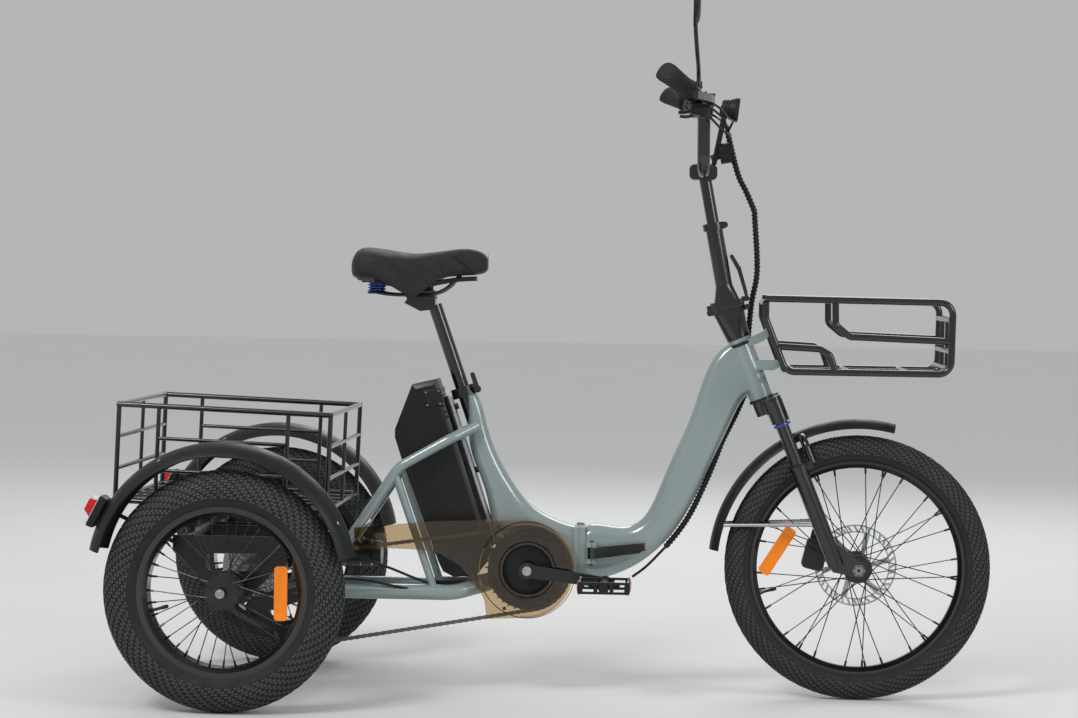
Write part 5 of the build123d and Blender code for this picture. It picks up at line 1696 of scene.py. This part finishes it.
# ---- lights and fenders
@dataclass
class Fenders:
    """Tail lights, fender bolts and edges, and the bright stay of the front fender.

    Attributes:
        centre: Centre of the rear fenders' arc, ahead and up.
        radius: Outer radius of the rear fenders' crown.
        angle: Where the tail lights stand on the arc, in degrees.
        track: Middle of each rear fender to its side.
        edge: Radius of the rear fenders' edges.
        half: Distance of each edge from the fender's middle.
        sweep: Angles of the edges' ends.
        front_radius: Radius at which the stay meets the front fender.
        stay_angle: Where it meets it, in degrees.
    """

    centre: Pair = (-5.0, 250.0)
    radius: float = 250.0
    angle: float = 153.0
    track: float = 343.0
    edge: float = 226.6
    half: float = 43.6
    sweep: Pair = (10.3, 168.4)
    front_radius: float = 271.8
    stay_angle: float = 163.0

    def lamp(self, hand: int) -> list[Piece]:
        """One tail light: black foot, clear band and red lens.

        Args:
            hand: -1 for the right, 1 for the left.

        Returns:
            Foot, clear band and red lens.
        """
        out = outward_way(self.angle)
        origin = (spot(self.centre[0], hand * self.track, self.centre[1])
                  + out * (self.radius + 0.2) / 1000)
        place = stand(origin, out, LEFT)
        foot = Work.block("foot", (0.040, 0.058, 0.012), (0, 0, 0.006))
        foot.pick_side()
        foot.grow((1.1, 1.07, 1), (0, 0, 0.012))
        foot.extrude((0, 0, 0.003))
        foot.soften(0.003, 3)
        band = Work.block("band", (0.0425, 0.0605, 0.011), (0, 0, 0.0203))
        band.pick_side()
        band.grow((0.88, 0.86, 1), (0, 0, 0.0258))
        band.soften(0.002, 2)
        lens = Work.block("lens", (0.0432, 0.036, 0.015), (0, -0.004, 0.0236))
        lens.pick_side()
        lens.grow((0.8, 0.62, 1), (0, -0.006, 0.0311))
        lens.pick_side()
        lens.inset(0.0025, 0.0)
        lens.inset(0.001, -0.0006)
        lens.soften(0.0012, 2)
        return [foot.done(place), band.done(place), lens.done(place)]

    def stay(self) -> Piece:
        """The thin bright stay on both sides of the front fender."""
        wires = []
        for hand in HANDS:
            rim = polar(FRONT_AXLE_MM, self.front_radius, self.stay_angle, hand * 30.0)
            middle = fork_spot(-262, 4, hand * 48)
            wires.append(hose("stay", [rim, middle], 0.0038, 8))
            wires.append(hose("stay", [middle, fork_spot(-262, 18, hand * 60)], 0.0038, 8))
        return join("front_fender_stays", wires)

    def beads(self) -> Piece:
        """Rolled edges along the rear fenders."""
        wires = []
        first, last = self.sweep
        for hand, side in product(HANDS, (-1, 1)):
            line = [polar(self.centre, self.edge, first + i * (last - first) / 28,
                          hand * self.track + side * self.half) for i in range(29)]
            wires.append(hose("bead", line, 0.0021, 6, True))
        return join("rear_fender_beads", wires)

    def bolts(self) -> Piece:
        """Domed bolts on the fenders' crowns and stays."""
        places = []
        for hand, angle in product(HANDS, (26.0, 118.0)):
            out = outward_way(angle)
            foot = spot(self.centre[0], hand * self.track - 26, self.centre[1]) + out * 0.2421
            places.append(stand(foot, out))
        return screws("fender_bolts", places, 0.0042, 0.0022)

    def build(self, bench: Bench) -> None:
        """Builds the fenders' pieces."""
        feet, bands, lenses = zip(*(self.lamp(hand) for hand in HANDS))
        bench.fit(join("tail_light_housings", feet), Finish.PLASTIC, "rear_frame",
                  ["tail_lights"])
        bench.fit(join("tail_light_clear_bands", bands), Finish.WHITE, "rear_frame")
        bench.fit(join("tail_light_lenses", lenses), Finish.RED, "rear_frame",
                  ["tail_lights"])
        bench.fit(self.beads(), Finish.FENDER, "rear_frame")
        bench.fit(self.bolts(), Finish.STEEL, "rear_frame")
        bench.fit(self.stay(), Finish.ALLOY, "fork_sliders")


# ---- handlebar
@dataclass
class Cockpit:
    """Grips, shifter, display, lamp, mirror, horn face and cables at the bar."""

    grip_from: Point = (842.0, 170.0, 1163.0)
    grip_to: Point = (800.0, 300.0, 1190.0)

    def bar(self, part: float, hand: int, across: float = 0.0, lift: float = 0.0) -> Vector:
        """Point along the bar's bend toward a grip, from 0 to 1."""
        return spot(868 - 26 * part + across, hand * (92 + 78 * part), 1143 + 20 * part + lift)

    def grip(self, hand: int) -> Piece:
        """One ribbed grip with a palm rest at its outer end."""
        start = spot(self.grip_from[0], hand * self.grip_from[1], self.grip_from[2])
        stop = spot(self.grip_to[0], hand * self.grip_to[1], self.grip_to[2])
        way = stop - start
        long = way.length + 0.006
        rings: list[Pair] = [(0.022, 0.0122), (0.0221, 0.0195), (0.0265, 0.0198),
                                            (0.0275, 0.0168)]
        at = 0.029
        while at < long - 0.012:
            rings += [(at, 0.0168), (at + 0.0006, 0.0178), (at + 0.0026, 0.0178),
                      (at + 0.0032, 0.0168)]
            at += 0.0042
        rings += [(at, 0.0162), (long - 0.002, 0.0168), (long, 0.0145), (long + 0.00001, 0.006)]
        work = Work.lathe("grip", rings, 28)

        def palm(p: Vector) -> Vector:
            out = math.hypot(p.x, p.y)
            share = max(0.0, min(1.0, (p.z - 0.06) / (long - 0.06))) ** 1.3
            toward = max(0.0, p.x / out) if out > 1e-6 else 0.0
            stretch = 1 + 0.42 * share * toward ** 2
            return Vector((p.x * stretch, p.y * (1 - 0.12 * share * toward ** 2), p.z))

        mould(work, palm)
        return work.done(stand(start, way, Vector((-0.86, 0, -0.35))), 40)

    def pods(self) -> Piece:
        """The shifter under the right side and the display's body on the left."""
        shifter = Work.block("shifter", (0.036, 0.034, 0.022))
        shifter.pick_side(-1)
        shifter.inset(0.004, 0.003)
        shifter.soften(0.005, 3)
        right = shifter.done(stand(self.bar(0.62, -1, 6, -20), Vector((0.2, 0, 1)),
                                   Vector((1, 0.3, 0))))
        body = Work.block("display", (0.046, 0.060, 0.012))
        body.pick_side()
        body.inset(0.004, -0.001)
        body.soften(0.003, 3)
        bands = []
        for part, hand, outer, half in ((0.3, 1, 0.0155, 0.007), (0.62, -1, 0.0158, 0.006)):
            bands.append(ring("band", band(0.0123, outer, -half, half), 24,
                              stand(self.bar(part, hand), self.bar(1, hand) - self.bar(0, hand))))
        return join("bar_pods", [right, body.done(self.display_place()), *bands])

    def display_place(self) -> Matrix:
        """Where the display sits over the left bend of the bar."""
        return stand(self.bar(0.3, 1, -6, 21), Vector((-0.5, 0, 1)), AHEAD)

    def window(self) -> Piece:
        """The display's dark window."""
        work = Work.block("display_window", (0.034, 0.048, 0.002), (0, 0, 0.0062))
        work.soften(0.0008)
        return work.done(self.display_place())

    def trigger(self) -> Piece:
        """The shifter's thumb lever and the throttle's paddle."""
        one = hose("paddle", [self.bar(0.62, -1, -4, -22), self.bar(0.62, -1, -16, -30),
                              self.bar(0.7, -1, -30, -30)], 0.0034, 8)
        two = hose("paddle", [self.bar(0.8, 1, 4, -16), self.bar(0.82, 1, -10, -24),
                              self.bar(0.92, 1, -22, -22)], 0.0034, 8)
        return join("thumb_levers", [one, two])

    def lamp(self) -> tuple[Piece, Piece]:
        """The headlight's flared shell on its strap, and its lens."""
        rear, front = spot(902, 0, 1146), spot(936, 0, 1142)
        place = stand(rear, front - rear)
        shell = turned("shell", [
            (0, 0.011), (0.0005, 0.0145), (0.003, 0.017), (0.006, 0.0176), (0.0062, 0.0166),
            (0.009, 0.0166), (0.0092, 0.018), (0.013, 0.0186), (0.0132, 0.0176), (0.016, 0.0178),
            (0.0162, 0.0195), (0.026, 0.0225), (0.0262, 0.0238), (0.0325, 0.024),
            (0.0342, 0.0232), (0.0343, 0.0208), (0.029, 0.0195)], 36, place)
        strap = side_plate("strap", [(884, 1035), (894, 1035), (912, 1124), (914, 1140),
                                     (903, 1146), (901, 1124)], -7, 7, 0.0014)
        lens = turned("headlight_lens", [(0.0292, 0.0196), (0.0315, 0.0200), (0.0335, 0.0165),
                                         (0.0342, 0.009), (0.03435, 0.002)], 36, place, 60)
        return join("headlight_shell", [shell, strap]), lens

    def mirror(self) -> list[Piece]:
        """The mirror's stalk with its clamp, its back shell and its glass."""
        x, y, z = 856.3, -127.1, 1152.0
        foot = turned("collar", [(0, 0.008), (0.004, 0.008), (0.0045, 0.0072), (0.013, 0.0068),
                                 (0.014, 0.0045)], 20, stand(spot(x, y, z + 22.4), WORLD_UP))
        line = [(x, y, z + 32), (x, y, z + 50), (x - 1, y - 20, z + 64), (x - 3, y - 50, z + 80),
                (x - 6, y - 62, z + 110), (x - 8, y - 66, z + 140), (x - 8, y - 66, z + 150)]
        stalk = hose("stalk", [spot(*p) for p in line], 0.004, 12)
        outline = [(0.062 * math.cos(t) * (1 - 0.10 * math.sin(t)), 0.0458 * math.sin(t))
                   for t in (2 * math.pi * i / 40 for i in range(40))]
        shell = Work.traced("shell", outline, height=-0.0118)
        shell.pick_all()
        shell.extrude((0, 0, 0.005))
        for rise, size in ((0.0035, 0.95), (0.003, 0.86), (0.0018, 0.66), (0.0004, 0.3)):
            shell.extrude((0, 0, rise))
            shell.grow((size, size, 1), (0, 0, 0))
        shell.outward()
        shell.pick_side(-1)
        shell.inset(0.0035, 0.0)
        shell.inset(0.0006, -0.0012)
        shell.outward()
        place = stand(spot(x, y - 66, z + 180), AHEAD, LEFT)
        back = shell.done(place, 50)
        glass = Work.traced("mirror_glass", [(u * 0.93, v * 0.915) for u, v in outline],
                            height=-0.0112)
        glass.thicken(0.0012)
        return [join("mirror_stalk", [foot, stalk]), back, glass.done(place)]

    def cables(self) -> Piece:
        """Brake, shift and lamp cables from the bar into the loom."""
        loom = spot(915, 30, 1100)
        routes = [
            [self.bar(0.84, -1, 20, -8), self.bar(0.5, -1, 44, -14), spot(914, -60, 1122),
             spot(926, -12, 1122), spot(921, 20, 1112), loom],
            [self.bar(0.84, 1, 20, -8), self.bar(0.5, 1, 40, -16), spot(908, 62, 1120),
             spot(918, 40, 1112), loom],
            [self.bar(0.6, -1, 18, -26), spot(896, -84, 1104), spot(916, -40, 1092),
             spot(922, 2, 1094), spot(917, 24, 1088)],
            [self.bar(0.3, 1, 8, 14), spot(900, 84, 1140), spot(914, 52, 1118), loom],
            [spot(904, 0, 1150), spot(898, 14, 1140), spot(908, 26, 1118), loom],
        ]
        return join("bar_cables", [hose("cable", r, 0.0024, 8) for r in routes])

    def build(self, bench: Bench) -> None:
        """Builds the cockpit's pieces."""
        grips = join("ribbed_grips", [self.grip(-1), self.grip(1)])
        bench.fit(grips, Finish.GRIP, "bar", ["grips"])
        bench.fit(self.pods(), Finish.PLASTIC, "bar")
        bench.fit(self.window(), Finish.SCREEN, "bar")
        bench.fit(self.trigger(), Finish.PLASTIC, "bar")
        shell, lens = self.lamp()
        bench.fit(shell, Finish.PLASTIC, "bar", ["headlight"])
        bench.fit(lens, Finish.LAMP, "bar")
        stalk, back, glass = self.mirror()
        bench.fit(stalk, Finish.POWDER, "mirror_arm", ["mirror"])
        bench.fit(back, Finish.PLASTIC, "mirror_arm", ["mirror"])
        bench.fit(glass, Finish.MIRROR, "mirror_arm")
        bench.fit(self.cables(), Finish.CABLE, "bar")
        rim = ring("horn_rim", [(0.0165, 0.0), (0.0204, 0.0), (0.0204, 0.003), (0.018, 0.0042),
                                (0.0165, 0.003)], 32,
                   stand(spot(921.5, 0, 1059.9), Vector((22, 0, 4))))
        slats = Work.block("slat", (0.0016, 0.030, 0.0016), (0, 0, 0.0012))
        place = stand(spot(921.8, 0, 1059.9), Vector((22, 0, 4)))
        grid = set_out("horn_slats", slats.done(), [place @ Matrix.Translation((0.0042 * i, 0, 0))
                                                    for i in (-3, -2, -1, 0, 1, 2, 3)])
        bench.fit(join("horn_face", [rim, grid]), Finish.PLASTIC, "bar")


# ---- loom
@dataclass
class Loom:
    """The spiral-wrapped cable loom, in runs between the bodies it crosses.

    Attributes:
        radius: Radius over the wrap, in metres.
        aside: How far right of the beam's middle the last run lies, in millimetres.
        bare: Point of the last run where the wrap ends and a bare lead goes on.
        route: Points from the bar to the foot of the head tube.
        under: Points from there along the beam's underside.
    """

    radius: float = 0.0062
    aside: float = 9
    bare: int = 8
    route: Sequence[Point] = (
        (915, 30, 1100), (936, 32, 1021), (953, 33, 986), (970, 34, 948), (977, 35, 855),
        (976, 36, 813), (968, 37, 770), (962, 35, 701), (965, 30.35, 640), (958, 31, 590),
    )
    under: Sequence[Point] = (
        (958, 31, 590), (946, 30, 562), (932, 24, 532), (916, 14, 500), (900, 7, 458),
        (881, 3, 412), (858, 2, 362), (836, 2, 326), (808, 2, 290), (772, 2, 252), (744, 3, 230),
    )

    def run(self, name: str, points: Sequence[Point]) -> Piece:
        """One run of sleeve with its spiral wrap."""
        line = smooth_path([spot(*p) for p in points], 8)
        sleeve = hose("sleeve", line, self.radius - 0.0012, 10, True)
        wrap = hose("wrap", coil(line, self.radius - 0.0010, 0.0075, 7), 0.0019, 5, True)
        return join(name, [sleeve, wrap])

    def build(self, bench: Bench) -> None:
        """Builds the runs between the bodies, left on no body, and the run under the beam."""
        spans = (("loom_bar_run", 0, 4, "bar", "stem", 0, 3),
                 ("loom_stem_run", 3, 8, "stem", "steering", 4, 7),
                 ("loom_head_run", 7, 10, "steering", "front_half", 7, 9))
        for name, first, last, above, below, start, stop in spans:
            piece = self.run(name, self.route[first:last])
            bench.finishes.dress(piece, Finish.CABLE)
            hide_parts("cable_loom")
            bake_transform(piece)
            log.info("    %-28s from %s to %s", name, above, below)
        under = [self.under[0], *((x, y - self.aside, z) for x, y, z in self.under[1:])]
        lead = hose("lead", smooth_path([spot(*p) for p in under[self.bare:]], 6), 0.0026, 8)
        sleeve = self.run("sleeve", under[:self.bare + 1])
        bench.fit(join("loom_under_beam", [sleeve, lead]), Finish.CABLE, "front_half")


# ---- small fittings
@dataclass
class Fittings:
    """Seals, rings, pads, pedals with studs, and cables about the frame."""

    def collars(self, name: str, section: Sequence[Pair], steps: int,
                places: Sequence[Point]) -> Piece:
        """Rings of one section round the steering axis or the fork's legs.

        Args:
            name: Name of the joined rings.
            section: Radius and height of each corner.
            steps: Steps round each ring.
            places: For each ring: along the steering axis, ahead of it and to the left.

        Returns:
            The joined rings.
        """
        up = fork_spot(1, 0) - fork_spot(0, 0)
        return join(name, [ring("collar", section, steps, stand(fork_spot(*place), up))
                           for place in places])

    def latch_pad(self) -> Piece:
        """The smooth rubber cover of the frame's latch lever, with shallow grooves."""
        pad = side_plate("latch_cover", [(672, 268.5), (758, 281), (765, 286), (766, 294),
                                         (760, 299), (748, 299), (676, 291), (670, 284)],
                         -53.4, -49.8, 0.0016)
        groove = Work.block("groove", (0.0012, 0.017, 0.0008))
        places = [stand(spot(684 + 8 * i, -53.5, 281.2 + 1.25 * i), -LEFT, Vector((1, 0, 0.16)))
                  for i in range(9)]
        return join("latch_pad", [pad, set_out("grooves", groove.done(), places)])

    def pedal_middle(self, hand: int) -> Vector:
        """A pedal's middle."""
        return polar(CRANK_MM, CRANK_ARM_MM, CRANK_TURN + (180 if hand > 0 else 0),
                     hand * PEDAL_Y_MM)

    def studs(self, hand: int) -> Piece:
        """Grip studs on a pedal's top and bottom."""
        middle = self.pedal_middle(hand)
        stud = turned("stud", [(0, 0.0024), (0.0018, 0.0022), (0.0022, 0.0012)], 8)
        places = [stand(middle + Vector((u, v, way * 10.8)) / 1000, WORLD_UP * way)
                  for u, v, way in product((-46, 46), (-39, -20, 20, 39), (-1, 1))]
        return set_out(f"{SIDE[hand]}_pedal_studs", stud, places)

    def pedal(self, hand: int) -> Piece:
        """A pedal's cage: side rails on posts, end bars, ribs and the bearing tube."""
        middle = Matrix.Translation(self.pedal_middle(hand))
        parts = []
        bars = [((0.094, 0.005, 0.0048), (0, s * 0.0405, t * 0.0092))
                for s, t in product((-1, 1), repeat=2)]
        bars += [((0.0075, 0.005, 0.018), (at, s * 0.0405, 0))
                 for s, at in product((-1, 1), (-0.043, -0.015, 0.015, 0.043))]
        bars += [((0.006, 0.082, 0.0215), (s * 0.0465, 0, 0)) for s in (-1, 1)]
        bars += [((0.0045, 0.080, 0.014), (s * 0.0165, 0, 0)) for s in (-1, 1)]
        bars += [((0.060, 0.0045, 0.014), (0, 0, 0))]
        for size, place in bars:
            work = Work.block("bar", size)
            work.soften(0.0012, 2)
            parts.append(work.done(middle @ Matrix.Translation(place)))
        parts.append(turned("tube", [(-0.042, 0.0092), (-0.040, 0.0105), (0.040, 0.0105),
                                     (0.042, 0.0092)], 20, middle @ stand(Vector(), LEFT)))
        parts.append(turned("axle", [(0, 0.006), (0.022, 0.006)], 14,
                            middle @ stand(Vector((0, -hand * 0.062, 0)), LEFT * hand)))
        return join(f"{SIDE[hand]}_pedal_cage", parts)

    def pedal_reflectors(self, hand: int) -> Piece:
        """Reflectors in both ends of a pedal."""
        middle = self.pedal_middle(hand)
        ends = []
        for way in (-1, 1):
            work = Work.block("plate", (0.052, 0.013, 0.0024))
            work.pick_side()
            work.inset(0.0012, -0.0005)
            work.soften(0.0005)
            ends.append(work.done(stand(middle + AHEAD * way * 0.0502, AHEAD * way, LEFT)))
        return join(f"{SIDE[hand]}_pedal_reflectors", ends)

    def cables(self) -> Piece:
        """Motor and shift cables along the right chain stay to the axle."""
        routes = [
            [(470, -30, 226), (430, -47, 212), (380, -57, 206), (330, -66, 222), (270, -70, 247),
             (200, -72, 268), (140, -60, 284), (90, -30, 282), (60, 10, 270)],
            [(474, -26, 222), (430, -44, 206), (370, -56, 196), (300, -80, 207), (230, -79, 222),
             (160, -72, 222), (124, -70, 205)],
        ]
        return join("rear_cables", [hose("cable", [spot(*p) for p in route], 0.0026, 8)
                                    for route in routes])

    def build(self, bench: Bench) -> None:
        """Builds the small fittings."""
        seals = self.collars("fork_seals", [(0.0127, 0.0), (0.0186, 0.0), (0.0186, 0.004),
                                            (0.0165, 0.006), (0.0127, 0.006)], 28,
                             [(-141.0, 18, hand * 60) for hand in HANDS])
        bench.fit(seals, Finish.PLASTIC, "fork_sliders")
        marks = self.collars("fork_blue_rings", [(0.0127, 0.0), (0.0172, 0.0), (0.0176, 0.0018),
                                                 (0.0172, 0.0036), (0.0127, 0.0036)], 28,
                             [(-58.0, 18, hand * 60) for hand in HANDS])
        bench.fit(marks, Finish.BLUE, "steering")
        cups = self.collars("headset_rings", [(0.0231, 0.0), (0.0252, 0.0006), (0.0252, 0.005),
                                              (0.0238, 0.0066), (0.0231, 0.0066)], 36,
                            [(along, 0, 0) for along in (0.4, 115.6)])
        bench.fit(cups, Finish.POWDER, "front_half")
        bench.fit(self.latch_pad(), Finish.GRIP, "frame_latch")
        for hand, side in SIDE.items():
            body = f"pedal_{side}"
            bench.fit(self.pedal(hand), Finish.PLASTIC, body, [f"{side}_pedal"])
            bench.fit(self.studs(hand), Finish.STEEL, body)
            bench.fit(self.pedal_reflectors(hand), Finish.AMBER, body)
        bench.fit(self.cables(), Finish.CABLE, "rear_frame")


def main() -> None:
    """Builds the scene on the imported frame."""
    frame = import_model()
    finishes = Finishes()
    Studio().build()
    dress_nodes(frame, finishes)
    bench = Bench(finishes)
    for wheel in wheels():
        wheel.build(bench)
    for group in (Drive(), Saddle(), Battery(), Fenders(), Cockpit(), Loom(), Fittings()):
        group.build(bench)
    log.info("%d pieces fitted", bench.count)


if __name__ == "__main__":
    main()
